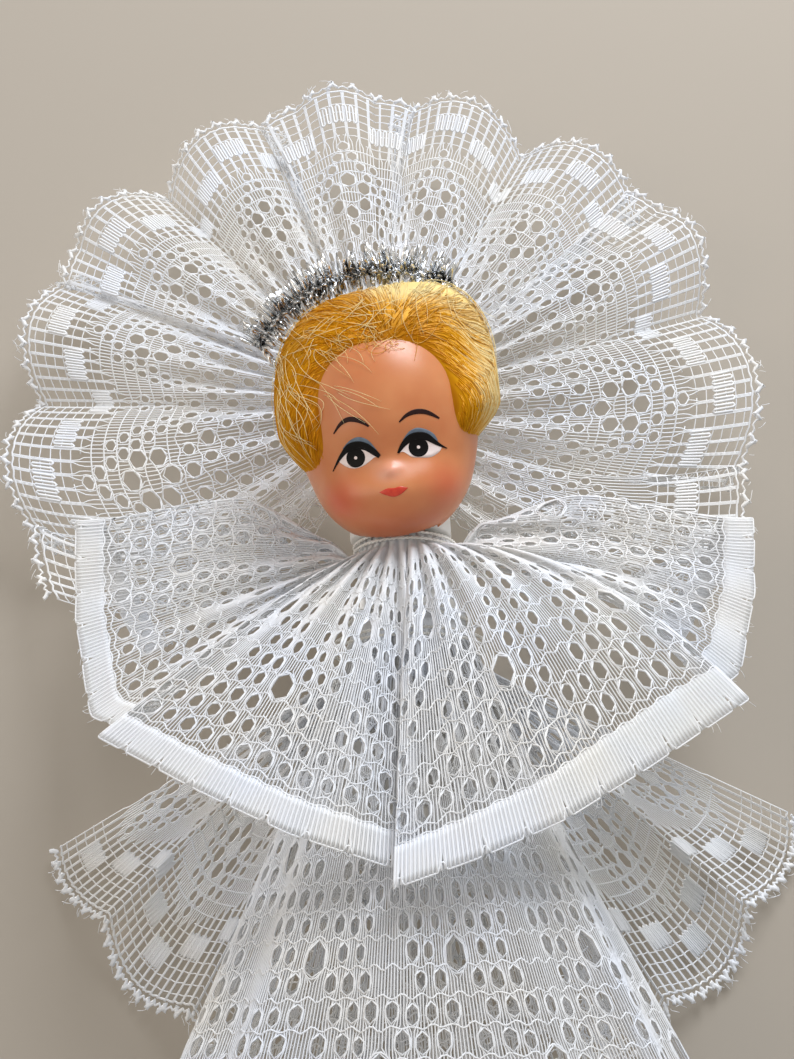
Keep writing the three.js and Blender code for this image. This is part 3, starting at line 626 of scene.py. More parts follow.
def wheelPlace(s, w):
    flatPhase = (s - wheel["origin"]) / scalloped["repeat"]
    return wheelForm(wheel["phaseAt"](flatPhase), flatPhase, 1 - w / wheel["width"])


wheel["place"] = wheelPlace
addLace("wing_openwork", scallopedParts, wheel)


# the collar, folded at both sides of the neck

collar = {
    "node": "collar_lace", "slot": "hemmed_lace", "origin": 0.0,
    "ring": 8.1, "neck": 44.3, "sweep": 138.0, "heading": 2.4, "drop": 55.6,
    # the hem in mm: from the left back over the left flap, under the front panel's fold, along that panel
    # with a pleat in its middle, and so on to the right back
    "hem": [
        (-47.04, 6, 30.3), (-54.684, 5, 44.3), (-58.8, 0, 54.6), (-56.742, -3, 34.848), (-52.626, -6, 17.612),
        (-45.276, -8, 14.276), (-44.1, -10.5, 14.276), (-49.392, -14, 12.886), (-32.34, -19.14, 3.156),
        (-18.816, -22, -3.794), (-1.176, -17.6, -9.91), (0.588, -18.7, -9.354), (-4.41, -21.34, -12.134),
        (8.694, -22, -8.242), (21.114, -21.56, -3.516), (35.397, -18.04, 4.268), (52.785, -14, 14.554),
        (47.817, -10.5, 16.5), (48.438, -8, 16.5), (54.027, -6, 20.392), (59.3055, -3, 34.848),
        (62.1, 0, 49.965), (57.132, 5, 41.3), (48.438, 6, 29.3),
    ],
    "corner": 1.6,       # mm over which the hem turns a corner
    "flapRise": (3.6, 6.4),   # how far the left and the right flap arch up between the neck and the hem
    # how the front panel droops, at shares of the lace from left to right: above 1 it goes out first
    "droop": ([0, 0.3, 0.5, 0.6, 0.7], [1.15, 1.15, 1.0, 1.35, 2.0]),
    "fullness": 1.03,    # length of the lace over its hem's reach
    "pleats": 25,
    # depth of the pleats at shares of the fall
    "pleatDepth": ([0, 0.04, 0.2, 0.5, 0.75, 1], [0.3, 0.7, 1.1, 0.6, 0.35, 0.25]),
}


def softPath(points, soften, steps=1200):
    # a path along straight stretches with rounded corners, and its length
    points = np.asarray(points, float)
    run = runOf(points)
    even = np.linspace(0, run[-1], steps)
    path = np.stack([np.interp(even, run, points[:, k]) for k in range(3)], -1)
    reach = round(soften * steps / run[-1])
    weights = np.hanning(2 * reach + 3)[1:-1]
    padded = np.pad(path, ((reach, reach), (0, 0)), mode="reflect", reflect_type="odd")
    path = np.stack([np.convolve(padded[:, k], weights / weights.sum(), "valid") for k in range(3)], -1)
    return path, run[-1]


def gathered(ring, hem, v, heading, drop, droop=1.0):
    # a heading that stands on a ring, then a fall from the ring to the hem
    top = heading / (heading + drop)
    rise = heading * np.maximum(1 - v / top, 0)
    fall = np.maximum((v - top) / (1 - top), 0)
    lift = np.where(hem[..., 2] > ring[..., 2], smooth(fall, 0.03, 0.45), fall ** droop)
    x, y, z = (mix(ring[..., k], hem[..., k], share) for k, share in enumerate((fall, fall ** 0.65, lift)))
    return xyz(x, y, z + rise), fall


collar["path"], hemReach = softPath(collar["hem"], collar["corner"])
collar["length"] = hemReach * collar["fullness"]
collar["width"] = collar["heading"] + collar["drop"]
collar["holes"] = hemmedHoles(collar["width"])


def collarPlace(s, w):
    c = collar
    along = np.clip(s / c["length"], 0, 1)
    turn = np.radians(mix(-c["sweep"], c["sweep"], along))
    ring = xyz(c["ring"] * np.sin(turn), -c["ring"] * np.cos(turn), c["neck"])
    even = np.linspace(0, 1, len(c["path"]))
    hem = xyz(*(np.interp(along, even, c["path"][:, k]) for k in range(3)))
    droop = np.interp(along, *c["droop"])
    points, fall = gathered(ring, hem, 1 - w / c["width"], c["heading"], c["drop"], droop)
    arch = smooth(fall, 0, 0.12) * smooth(fall, 1.0, 0.4) * smooth(hem[..., 2], c["neck"] - 16, c["neck"] + 2)
    points[..., 2] += arch * np.where(along < 0.5, *c["flapRise"])
    points[..., 1] -= np.interp(fall, *c["pleatDepth"]) * np.sin(tau * c["pleats"] * along)
    return points


collar["place"] = collarPlace
addLace("collar_openwork", hemmedParts, collar)


# the skirt, a flattened bell round the cone

skirt = {
    "node": "skirt_lace", "slot": "hemmed_lace", "origin": 0.0,
    "waist": 31.0, "heading": 2.6, "hem": -57.0, "gather": 9.76, "mouth": 14.5,
    "halfWidth": 46.0, "frontDepth": 18.0, "backDepth": 15.0,
    "flutes": 11, "fluteDepth": 1.5, "fullness": 1.05, "gathers": 46, "gatherDepth": 0.5,
}


def skirtForm(turn, v):
    k = skirt
    drop = k["waist"] - k["hem"]
    top = k["heading"] / (k["heading"] + drop)
    fall = np.maximum((v - top) / (1 - top), 0)
    height = k["waist"] + k["heading"] * np.maximum(1 - v / top, 0) - drop * fall
    ripple = k["fluteDepth"] * fall * (1 + np.cos(k["flutes"] * turn))
    beside = mix(k["gather"], k["mouth"], np.minimum(1, drop * fall / k["waist"]))
    hemDepth = np.where(np.sin(turn) < 0, k["frontDepth"], k["backDepth"])
    pucker = k["gatherDepth"] * np.sin(k["gathers"] * turn)
    pucker = pucker * smooth(fall, 0.01, 0.06) * smooth(fall, 0.4, 0.1)
    depth = beside + (hemDepth - k["mouth"]) * smooth(-height, 0, -k["hem"]) + ripple + pucker
    wide = mix(k["gather"], k["halfWidth"], fall ** 1.1) + ripple + pucker
    return xyz(wide * np.cos(turn), depth * np.sin(turn), height)


def skirtTurn(share):
    return tau * share - math.pi * 1.5   # its seam is at the back


skirt["shareAt"], hemReach = shareByLength(lambda share: skirtForm(skirtTurn(share), np.ones_like(share)))
skirt["length"] = hemReach * skirt["fullness"]
skirt["width"] = skirt["waist"] - skirt["hem"] + skirt["heading"]
skirt["holes"] = hemmedHoles(skirt["width"])


def skirtPlace(s, w):
    return skirtForm(skirtTurn(skirt["shareAt"](s / skirt["length"])), 1 - w / skirt["width"])


skirt["place"] = skirtPlace
addLace("skirt_openwork", hemmedParts, skirt)


# the ruffle behind the skirt, of the wheel's lace

ruffle = {
    "node": "ruffle_lace", "slot": "scalloped_lace",
    "waist": 26.8, "heading": 2.4, "ring": 12.28, "side": 1.7, "spread": 68.0, "tip": 44.0, "pitch": 18.0,
    "scallop": 4.5, "drop": 61.5, "back": 21.8, "flute": 2.6, "gathers": 4, "gatherDepth": 0.8,
}
ruffle["width"] = ruffle["heading"] + ruffle["drop"]
ruffle["length"] = scalloped["repeat"] * 2 * ruffle["spread"] / ruffle["pitch"]
ruffle["origin"] = scalloped["repeat"] * (ruffle["tip"] + ruffle["spread"]) / ruffle["pitch"]
ruffle["holes"] = scallopedHoles(ruffle["width"])


def rufflePlace(s, w):
    r = ruffle
    angle = mix(-r["spread"], r["spread"], s / r["length"])
    phase = (angle - r["tip"]) / r["pitch"]
    reach = r["ring"] + r["drop"] - r["scallop"] * (1 - np.abs(np.cos(math.pi * phase)))
    turn = np.radians(angle)
    ring = xyz(r["ring"] * np.sin(turn), r["ring"] * np.cos(turn), r["waist"])
    back = r["back"] + r["flute"] * lobe(phase)
    hem = xyz(r["side"] + reach * np.sin(turn), back, r["waist"] - reach * np.cos(turn))
    points, fall = gathered(ring, hem, 1 - w / r["width"], r["heading"], r["drop"])
    gather = r["gatherDepth"] * np.sin(tau * r["gathers"] * phase)
    points[..., 1] += gather * smooth(fall, 0.01, 0.08) * smooth(fall, 0.6, 0.2)
    return points


ruffle["place"] = rufflePlace
addLace("ruffle_openwork", scallopedParts, ruffle)


# gathering threads, each of two plies

thread = {"ply": 0.17, "apart": 0.14, "lay": 1.6, "turns": 2, "steps": 240, "inset": 0.3, "spiral": 1.1}


def twisted(route, run, side, out, apart, lay):
    # two plies that wind round a route
    turns = [(tau * run / lay + half)[:, None] for half in (0, math.pi)]
    return np.stack([route + apart * (np.cos(turn) * side + np.sin(turn) * out) for turn in turns])


def threadRoute(node):
    # turns from the low to the high end of the node's box, or a flat spiral on the wheel
    low, high = (np.array(corner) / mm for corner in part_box(node))
    middle, inset = (low + high) / 2, thread["inset"]
    share = np.linspace(0, 1, thread["turns"] * thread["steps"])
    turn = tau * thread["turns"] * share
    if node == "wing_thread":
        radius = wheel["inner"] + inset + thread["spiral"] * thread["turns"] * share
        x, z = wheel["middle"][0] + radius * np.sin(turn), wheel["middle"][2] + radius * np.cos(turn)
        return xyz(x, middle[1], z)
    radius = (high[0] - low[0]) / 2 - inset
    x, y = middle[0] + radius * np.sin(turn), middle[1] + radius * np.cos(turn)
    return xyz(x, y, mix(low[2] + inset, high[2] - inset, share))


for node in ("collar_thread", "skirt_thread", "ruffle_thread", "wing_thread"):
    route = threadRoute(node)
    along = unit(np.gradient(route, axis=0))
    side = unit(np.cross(along, xyz(0.05, 0.08, 1.0)))
    out = np.cross(side, along)
    plies = twisted(route, runOf(route), side, out, thread["apart"], thread["lay"])
    part = tubes(plies, np.stack([out, out]), thread["ply"], 5)
    addPiece(node + "_plied", [part], "dress", threadWhite, [node])


# cone, neck plug and the wheel's wire, with profiles of (radius, height)

cone = {"mouth": 13.5, "top": 7.2, "height": 44.0,
        "profile": [(13.25, 0), (13.5, 0.25), (7.2, 43.75), (6.95, 44),
                    (6.25, 44), (6.0, 43.75), (12.3, 0.25), (12.55, 0)]}
# from below: the shank in the cone, the shoulder, the neck that the head turns on and the flange over it
plug = {"profile": [(0.01, 38.3), (5.2, 38.3), (5.7, 38.8), (5.7, 44.3), (7.2, 44.3), (7.4, 44.5),
                    (7.4, 46.7), (6.9, 47.2), (5.2, 47.2), (5.2, 50.8), (6.8, 50.8), (6.8, 51.76),
                    (5.2, 53.2), (0.01, 53.2)]}
wire = {"radius": 0.8, "wrap": 0.55, "wrapDepth": 0.05, "hoop": 11.0, "mouth": 20.0, "spread": 1.6,
        "tailTop": 40.0, "tail": 4.5, "off": 1.1, "step": 0.14}


def coneRadius(height):
    return mix(cone["mouth"], cone["top"], height / cone["height"])


def wireRoute():
    x, y, z = wheel["middle"]
    top, low = wire["tailTop"], wire["tailTop"] - wire["tail"]

    def tail(side):
        apart = side * wire["spread"]
        return [(apart, coneRadius(low) + wire["off"], low), (apart, coneRadius(top) + wire["off"], top),
                (apart + 0.25 * x, mix(coneRadius(top), y, 0.85), top + 8), (apart + 0.7 * x, y, top + 16)]

    angles = np.radians(np.linspace(wire["mouth"] - 180, 180 - wire["mouth"], 17))
    hoop = xyz(x + wire["hoop"] * np.sin(angles), y, z + wire["hoop"] * np.cos(angles))
    return evenRoute(np.concatenate([tail(-1), hoop, tail(1)[::-1]]), wire["step"])


route, run = wireRoute()
wrap = wire["radius"] + wire["wrapDepth"] * np.cos(tau * run / wire["wrap"])
towardsViewer = np.broadcast_to((0.0, -1.0, 0.3), (1, len(route), 3))
covered = tubes(route[None], towardsViewer, wrap[None], 8)
addPiece("wing_wire_covered", [covered], "dress", threadWhite, ["wing_wire"])
for node, moulding in (("support_cone", cone), ("neck_plug", plug)):
    addPiece(node + "_moulded", [lathe(moulding["profile"])], "dress", styrene, [node])


# the head: everything here is in its own leaning frame, from the head's middle

head = {
    "turnsAt": 47.5, "tilt": 20.0, "lean": -6.6, "yaw": -4.0, "rise": 22.0,
    "halfWidth": 16.2, "halfDepth": 16.6, "crown": 19.8, "chin": 21.9, "jaw": 0.045, "chinForward": 5.0,
    # the short neck under it, whose bore stays on the axis
    "stub": 8.9, "stubMiddle": (-0.7, -1.0), "stubTop": 61.5, "bore": 5.5, "room": 7.1, "roomBase": 50.5,
    "recess": 10.6, "recessRise": 0.4,
    # side, height, half width, half height and how far each swelling stands out
    "relief": [(0.6, -9.7, 1.7, 1.2, 1.0), (-7.8, -12.5, 5, 4.5, 1.4), (7.8, -12.5, 5, 4.5, 1.4),
               (0, -18.5, 4.5, 3, 1.2), (0.6, -12.8, 4.4, 2.9, 1.3), (-5.2, -6.6, 3.4, 2.6, -0.8),
               (5.2, -6.6, 3.4, 2.6, -0.8)],
}
headFrame = Matrix.Translation((0, 0, head["turnsAt"]))
for angle, axis in (("tilt", "X"), ("lean", "Y"), ("yaw", "Z")):
    headFrame = headFrame @ Matrix.Rotation(math.radians(head[angle]), 4, axis)
headMatrix = np.array(headFrame @ Matrix.Translation((0, 0, head["rise"])))


def fromHead(points):
    return points @ headMatrix[:3, :3].T + headMatrix[:3, 3]


def headTall(z):
    return np.where(z < 0, head["chin"], head["crown"])


def facePull(x, z, front):
    y = -head["chinForward"] * smooth(-z, 0.35 * head["chin"], 0.9 * head["chin"])
    for side, height, wide, tall, out in head["relief"]:
        y = y - front * out * np.exp(-((x - side) / wide) ** 2 - ((z - height) / tall) ** 2)
    return y


def headPoint(d):
    z = d[..., 2] * headTall(d[..., 2])
    x = d[..., 0] * head["halfWidth"] * (1 + head["jaw"] * smooth(-z, 8, 18))   # a full, square jaw
    y = d[..., 1] * head["halfDepth"] + facePull(x, z, smooth(-d[..., 1], 0, 0.5))
    return xyz(x, y, z)


def skinPoint(x, z, lift=0.0):
    # the face's surface at a place seen from straight ahead
    inward = np.sqrt(np.maximum(1 - (x / head["halfWidth"]) ** 2 - (z / headTall(z)) ** 2, 0.01))
    y = -inward * head["halfDepth"] + facePull(x, z, smooth(inward, 0, 0.5))
    return xyz(x, y - lift, z)


def ballGrid(up, turn):
    return xyz(np.cos(up) * np.cos(turn), np.cos(up) * np.sin(turn), np.sin(up))


# pairs are the left and the right, as places on the face in mm to the viewer's right and up
face = {
    "skin": [(0.3, "#cb7846"), (0.7, "#d88c58")],
    # middle, reach, colour and strength of each patch: the airbrushed cheeks, the left one deeper and
    # stronger as painted shade, a broad painted shade over the lower face and chin that is partly airbrushed
    # colour, and a painted highlight between the nose and the mouth
    "blushAndPaintedLight": [((-8.6, -13.5, -13.5), (6.5, 9, 5.5), "#cf5637", 0.75),
              ((9.4, -12.5, -13.5), (6.5, 9, 5.5), "#d2603e", 0.65),
              # painted shade, partly airbrushed colour: a broad darker red-brown patch over the lower face
              # and chin
              ((0.0, -13.0, -20.0), (17, 14, 10), "#b04d2c", 0.5),
              # painted highlight: a pale pink patch between the nose and the mouth
              ((0.8, -18.0, -9.8), (5.5, 6, 3.2), "#eeb09c", 0.6)],
    "brows": [[(-7.9, -2.3), (-6.5, -1.0), (-5.1, -0.5), (-3.7, -0.8), (-2.7, -1.4), (-1.8, -2.2)],
              [(3.2, -2.3), (4.5, -1.4), (5.9, -1.0), (7.3, -1.1), (8.6, -1.7), (9.7, -2.5)]],
    "browWidths": [0.2, 0.55, 0.8, 0.8, 0.6, 0.3],
    "lashes": [[(-9.2, -8.3), (-7.9, -6.7), (-6.6, -5.5), (-5.5, -4.9),
                (-4.1, -4.9), (-2.8, -5.4), (-1.6, -6.5), (-0.9, -7.3)],
               [(2.2, -7.2), (3.2, -6.0), (4.5, -5.1), (5.8, -4.9),
                (7.1, -5.2), (8.2, -6.1), (9.2, -6.9), (10.2, -7.5)]],
    "lashWidths": [[0.12, 0.45, 0.85, 1.2, 1.3, 1.2, 1.0, 0.6], [0.35, 0.8, 1.15, 1.3, 1.2, 0.8, 0.45, 0.1]],
    "shadows": [[(-6.8, -4.9), (-5.4, -3.9), (-3.8, -3.6), (-2.3, -4.4), (-1.2, -6.1)],
                [(3.3, -5.2), (4.4, -4.1), (5.8, -3.6), (7.2, -4.0), (8.4, -4.9), (8.9, -6.1)]],
    "whites": [[(-7.7, -7.1), (-6.5, -8.1), (-5.1, -8.5), (-3.5, -8.2), (-1.7, -7.2)],
               [(3.1, -7.0), (4.2, -8.1), (5.4, -8.4), (7.3, -8.6), (8.7, -8.0), (9.3, -7.3)]],
    "irises": [(-4.9, -6.8), (5.6, -6.7)], "iris": 1.6, "dot": 0.27,
    "lips": [[(-1.8, -13.1), (-0.4, -12.7), (0.8, -12.8), (1.8, -12.7), (3.0, -13.1)],
             [(-1.8, -13.1), (-0.8, -13.7), (0.5, -14.2), (1.8, -13.9), (3.0, -13.1)]],
}


def paintBetween(upper, lower, lift, rows=7):
    # a skin of paint between two outlines of the same number of points
    place = mix(upper[None], lower[None], np.linspace(0, 1, rows)[:, None, None])
    top = skinPoint(place[..., 0], place[..., 1], lift)
    return shell(fromHead(top), fromHead(top + (0, 0.2, 0)))


def paintStroke(points, widths, lift, steps=40):
    share = np.linspace(0, 1, steps)
    middle = throughPoints(points, share)
    along = unit(np.gradient(middle, axis=0))
    across = np.stack([-along[:, 1], along[:, 0]], -1)
    wide = throughPoints(np.asarray(widths, float)[:, None], share) / 2
    return paintBetween(middle + across * wide, middle - across * wide, lift)


def paintDisc(middle, radius, lift, steps=28):
    turn = np.linspace(0.02, math.pi - 0.02, steps)
    upper = np.stack([middle[0] - radius * np.cos(turn), middle[1] + radius * np.sin(turn)], -1)
    lower = np.stack([upper[:, 0], 2 * middle[1] - upper[:, 1]], -1)
    return paintBetween(upper, lower, lift, 13)


def paintFill(upper, lower, lift, steps=36):
    share = np.linspace(0, 1, steps)
    return paintBetween(throughPoints(upper, share), throughPoints(lower, share), lift)


def enamel(name, dark, light, roughness, shine=0.5):
    # enamel paint put on by a mask spray: even, glossy, a shade thinner here and there
    settings = {"Roughness": roughness, "IOR": 1.5, "Specular IOR Level": shine}
    return mottled(name + "EnamelPaint", 0.8, 2, [(0.35, dark), (0.75, light)], settings)


def makeHead():
    around, tall = 200, 150
    up = math.pi * (np.arange(tall + 1) / tall - 0.5)[:, None]
    spots = headPoint(ballGrid(up, tau * np.arange(around)[None] / around))
    form = fromHead(spots)
    low, high, base = head["turnsAt"], head["stubTop"], head["roomBase"]
    under = (np.hypot(form[..., 0], form[..., 1]) < head["recess"]) & (form[..., 2] < low)
    form[..., 2] = np.where(under, low + head["recessRise"], form[..., 2])
    index = np.arange(form[..., 0].size).reshape(-1, around)
    skin = form.reshape(-1, 3), [bands(index[:-1], index[1:])], None
    addPiece("head_vinyl", [skin], "head", mouldedVinyl(face), ["head_shell"],
             {"facePlace": spots.reshape(-1, 3)})
    outer, bore, room = head["stub"], head["bore"], head["room"]
    profile = [(bore, low + 0.2), (bore + 0.2, low), (outer - 0.3, low), (outer, low + 0.3), (outer, high),
               (room, high), (room, base), (bore, base)]
    stub = lathe(profile, 64, [(0, 0)] * 2 + [head["stubMiddle"]] * 3 + [(0, 0)] * 3)
    addPiece("head_neck", [stub], "head", styrene)

    black = enamel("black", "#050405", "#0b090a", 0.5, 0.15)
    brown = enamel("brown", "#1f0a09", "#2c100e", 0.5, 0.2)
    white = enamel("white", "#f3dfd8", "#f8ebe6", 0.4)
    blue = enamel("blueGrey", "#5d6c7c", "#6b7a89", 0.6)
    red = enamel("red", "#c7311c", "#d9452a", 0.25)
    left, right = lashes = face["lashes"]
    whites = zip((left[1:], right[:-1]), face["whites"])
    shadows = zip(face["shadows"], (left[2:7], right[1:6]))
    painted = {
        "brows": (brown, [paintStroke(line, face["browWidths"], 0.07) for line in face["brows"]]),
        "eye_whites": (white, [paintFill(*lines, 0.05) for lines in whites]),
        "eye_shadow": (blue, [paintFill(*lines, 0.06) for lines in shadows]),
        "eyes": (black, [paintDisc(middle, face["iris"], 0.1) for middle in face["irises"]]
                 + [paintStroke(*lash, 0.12) for lash in zip(lashes, face["lashWidths"])]),
        "eye_dots": (white, [paintDisc(middle, face["dot"], 0.16) for middle in face["irises"]]),
        "lips": (red, [paintFill(*face["lips"], 0.08)]),
    }
    for name, (paint, parts) in painted.items():
        addPiece("painted_" + name, parts, "head", paint)


makeHead()


# hair: a cap of combed fibre with single strands over it, from the hairline back and down both sides

hair = {
    "half": (19.0, 20.2, 19.6),  # left, right and back
    "above": 22.6, "square": 2.5, "lowSquare": 1.5,   # exponents of its outline over the crown and below
    "below": (16.0, 11.0, 17.5),   # how it rounds in under: left, right and nape
    "swell": ((0.66, -0.1, 0.74), 0.5, 2.6),   # to the right of the crown it stands higher
    "opening": 10.9, "openingSide": 1.3, "corner": 9.0, "archTop": 11.3,
    "rise": (4.0, 8.0, 2.2),     # mm to its full thickness: left, over the forehead and right
    "sunk": 0.5, "deep": 3.5,    # how far the cap lies under the skin at the hairline and behind the face
    "fan": unit(np.array((0.2, -0.74, 0.64))),   # from the head's middle to where the strands part
    "downward": 1.1, "downFrom": (0.4, 0.9),   # how much the sides fall, and from which share of the side
    "turnAside": (5, 0.5),       # mm past the hairline over which strands turn off from the face
    # how pale: all of it, more on the ridge and to the right as a painted highlight, less at the hairline
    "tones": (0.16, 0.7, 0.32, 0.22),
    # where the painted highlight lies on the ridge and on the right side, and where the hairline turns deeper
    # orange
    "highlightRidge": ((9, 23), (9, 4.5)), "pale": (9, 20), "dark": (8, 0),
    "toneSpread": (0.1, 0.15), "tangleTone": 0.3, "strayTone": 0.62,
    "capLow": -0.62, "capGrid": (120, 241), "swirl": 14,
    "capLift": -0.25, "lift": (-0.3, 0.18), "wander": 0.13,
    "strands": 2480, "roots": 900, "strandRadius": 0.08, "steps": 12, "stepLength": 2.1, "size": 21,
    "tangle": 70,                # short curled fibres at the hairline
    # fine loose fibres: how many, where they start from the left and from below, and how far they go
    "strays": [(11, (-14, -6), (4, 12), (3, 10), (-9, -4)), (36, (-17, -11), (0, 14), (-1, 3), (-9, -4)),
               (64, (-12, 5), (11.0, 17), (-6, 4), (-4, 3)), (26, (6, 17), (12, 20), (0, 6), (-9, -3))],
    "strayRadius": 0.052,
}


def pastHairline(points):
    # mm outside the face's opening, seen from the front
    acrossFace = np.abs(points[..., 0] - hair["openingSide"]) - hair["opening"] + hair["corner"]
    up = points[..., 2] - hair["archTop"] + hair["corner"]
    outside = np.hypot(np.maximum(acrossFace, 0), np.maximum(up, 0))
    inside = np.minimum(np.maximum(acrossFace, up), 0)
    return outside + inside - hair["corner"] + 20 * smooth(points[..., 1], -4, 4)


def skullReach(aim):
    halves = xyz(head["halfWidth"], head["halfDepth"], headTall(aim[..., 2]))
    return 1 / np.linalg.norm(aim / halves, axis=-1)


def hairReach(aim):
    x, y, z = aim[..., 0], aim[..., 1], aim[..., 2]
    left, right, nape = hair["below"]
    below = mix(mix(left, right, smooth(x, -0.5, 0.5)), nape, smooth(y, 0.1, 0.8))
    q = np.where(z < 0, hair["lowSquare"], hair["square"])
    beside = np.abs(x) / np.where(x < 0, hair["half"][0], hair["half"][1])
    front = (beside ** q + (np.abs(z) / np.where(z < 0, below, hair["above"])) ** q) ** (1 / q)
    middle, wide, out = hair["swell"]
    swell = out * np.exp(-np.sum((aim - unit(np.array(middle))) ** 2, -1) / wide ** 2)
    return 1 / np.hypot(front, y / hair["half"][2]) + swell


def hairSurface(aim, lift):
    # the hair comes up slowly from the hairline, and under the skin of the face the cap is hidden
    skull = skullReach(aim)
    skin = aim * skull[..., None]
    left, front, right = hair["rise"]
    ramp = mix(np.where(skin[..., 0] < hair["openingSide"], left, right), front, smooth(skin[..., 2], 2, 10))
    past = pastHairline(skin)
    full = np.clip(past / ramp, 0, 1) ** 0.7
    low = skull - mix(hair["sunk"], hair["deep"], smooth(past, 0, -4))
    return aim * np.maximum(mix(low, hairReach(aim) + lift, full), low)[..., None]


def combing(aim, wander):
    # which way the strands run: out from the parting, down at the sides, and never into the face
    away = unit(aim * np.sum(aim * hair["fan"], -1, keepdims=True) - hair["fan"])
    down = aim * aim[..., 2:] - (0, 0, 1)
    way = away + hair["downward"] * smooth(np.abs(aim[..., :1]), *hair["downFrom"]) * down + wander
    skin = aim * skullReach(aim)[..., None]
    past = pastHairline(skin)
    outward = unit(xyz(pastHairline(skin + (0.1, 0, 0)) - past, 0, pastHairline(skin + (0, 0, 0.1)) - past))
    into = np.minimum(np.sum(way * outward, -1), 0) * smooth(past, *hair["turnAside"])
    way = way - into[..., None] * outward
    return unit(way - aim * np.sum(way * aim, -1, keepdims=True))


def hairTone(points):
    # a painted highlight, straw pale, on the ridge to the right of the crown and down that side; deeper
    # orange along the hairline
    x, z = points[..., 0], points[..., 2]
    (middleX, middleZ), (wide, tall) = hair["highlightRidge"]
    plain, ridgeHighlightAmount, right, line = hair["tones"]
    highlightRidge = np.exp(-((x - middleX) / wide) ** 2 - ((z - middleZ) / tall) ** 2)
    tone = plain + ridgeHighlightAmount * highlightRidge + right * smooth(x, *hair["pale"])
    return tone - line * smooth(pastHairline(points), *hair["dark"])


def laidOver(x, z, lift):
    # on the skin, or on the hair where that is higher
    skin = skinPoint(x, z, lift)
    over = hairSurface(unit(skin), 1.6 * lift)
    isOver = np.linalg.norm(over, axis=-1) > np.linalg.norm(skin, axis=-1)
    return np.where(isOver[..., None], over, skin)


def makeCap():
    rows, columns = hair["capGrid"]
    up = np.linspace(hair["capLow"], math.pi / 2 - 0.01, rows)[:, None]
    aim = ballGrid(up, np.linspace(math.pi / 2, math.pi / 2 + tau, columns)[None])
    outer = hairSurface(aim, hair["capLift"])
    inner = outer - aim * (0.5 + 3 * smooth(hairReach(aim) - skullReach(aim), 0, 2))[..., None]
    fromFan = aim - hair["fan"]
    swirl = hair["swirl"] * np.arctan2(fromFan[..., 0], fromFan[..., 1])
    flow = xyz(swirl, np.linalg.norm(fromFan, axis=-1) * 0.5, hairTone(outer)).reshape(-1, 3)
    # the cap is coloured darker than the strands, as painted shade in the gaps between them
    saran = combedSaran("combedSaranCapInPaintedShade", "#a86203", "#f0d690")
    addPiece("hair_cap", [shell(fromHead(outer), fromHead(inner))], "head", saran, ["hair"],
             {"strand": np.concatenate([flow, flow])})


def makeStrands():
    steps, spread = hair["steps"], hair["wander"]
    aim = unit(chance.normal(0, 1, (16 * hair["strands"], 3)))
    past = pastHairline(aim * skullReach(aim)[:, None])
    isHair = (past > 0.4) & (hairReach(aim) > skullReach(aim) + 0.4)
    # near the hairline they start closer together
    roots = np.flatnonzero(isHair & (past < 4.5))[:hair["roots"]]
    aim = aim[np.concatenate([roots, np.flatnonzero(isHair)[:hair["strands"] - len(roots)]])]
    wander = chance.normal(0, spread, aim.shape)
    route = [aim]
    for k in range(steps - 1):
        curl = 0.12 * np.sin(0.9 * k + 6 * wander[:, :1] / spread) * np.cross(aim, wander) / spread
        aim = unit(aim + combing(aim, wander + curl) * hair["stepLength"] / hair["size"])
        route.append(aim)
    arch = np.sin(math.pi * np.linspace(0.06, 0.97, steps))[None]
    lines = [hairSurface(np.stack(route, 1), chance.uniform(*hair["lift"], (len(aim), 1)) * arch)]
    tones = [hairTone(lines[0]) + chance.normal(0, hair["toneSpread"][0], (len(aim), 1))]

    count = hair["tangle"]
    share = np.linspace(0, 1, steps)[None]
    lift = 0.1 + 0.28 * np.sin(math.pi * share)
    turn = mix(chance.uniform(0, tau, (count, 1)), chance.uniform(0, tau, (count, 1)), share)
    size = chance.uniform(0.5, 1.8, (count, 1))
    x = chance.normal(1.5, 4.2, (count, 1)) + size * np.cos(turn)
    z = hair["archTop"] + chance.normal(1.1, 0.9, (count, 1)) + 0.8 * size * np.sin(turn)
    lines.append(laidOver(x, z, lift))
    tones.append(np.full((count, steps), hair["tangleTone"]))
    for count, *ranges in hair["strays"]:
        x, z, alongX, alongZ = (chance.uniform(*ends, (count, 1)) for ends in ranges)
        x = x + alongX * share + chance.normal(0, 0.9, (count, 1)) * np.sin(math.pi * share)
        lines.append(laidOver(x, z + alongZ * share ** 1.2, lift))
        shift = chance.normal(0, hair["toneSpread"][1], (count, 1))
        tones.append(np.full((count, steps), hair["strayTone"]) + shift)

    thick = np.full((sum(map(len, lines)), 1), hair["strayRadius"])
    thick[:len(lines[0])] = hair["strandRadius"]
    lines, tones = np.concatenate(lines), np.concatenate(tones)
    taper = mix(1.0, 0.5, smooth(np.linspace(0, 1, steps), 0.7, 1.0))[None]
    part = tubes(fromHead(lines), unit(lines) @ headMatrix[:3, :3].T, thick * taper)
    flow = xyz(chance.uniform(0, 80, (len(lines), 1)), np.linspace(0, 0.6, steps)[None], tones)
    saran = combedSaran("combedSaranStrands", "#c67a06", "#fae8b0")
    flow = np.repeat(flow.reshape(-1, 3), 3, 0)   # the same for the three sides of a strand
    addPiece("hair_strands", [part], "head", saran, (), {"strand": flow})


makeCap()
makeStrands()


# tinsel halo: foil blades on a twisted core, whose ends go into the hair

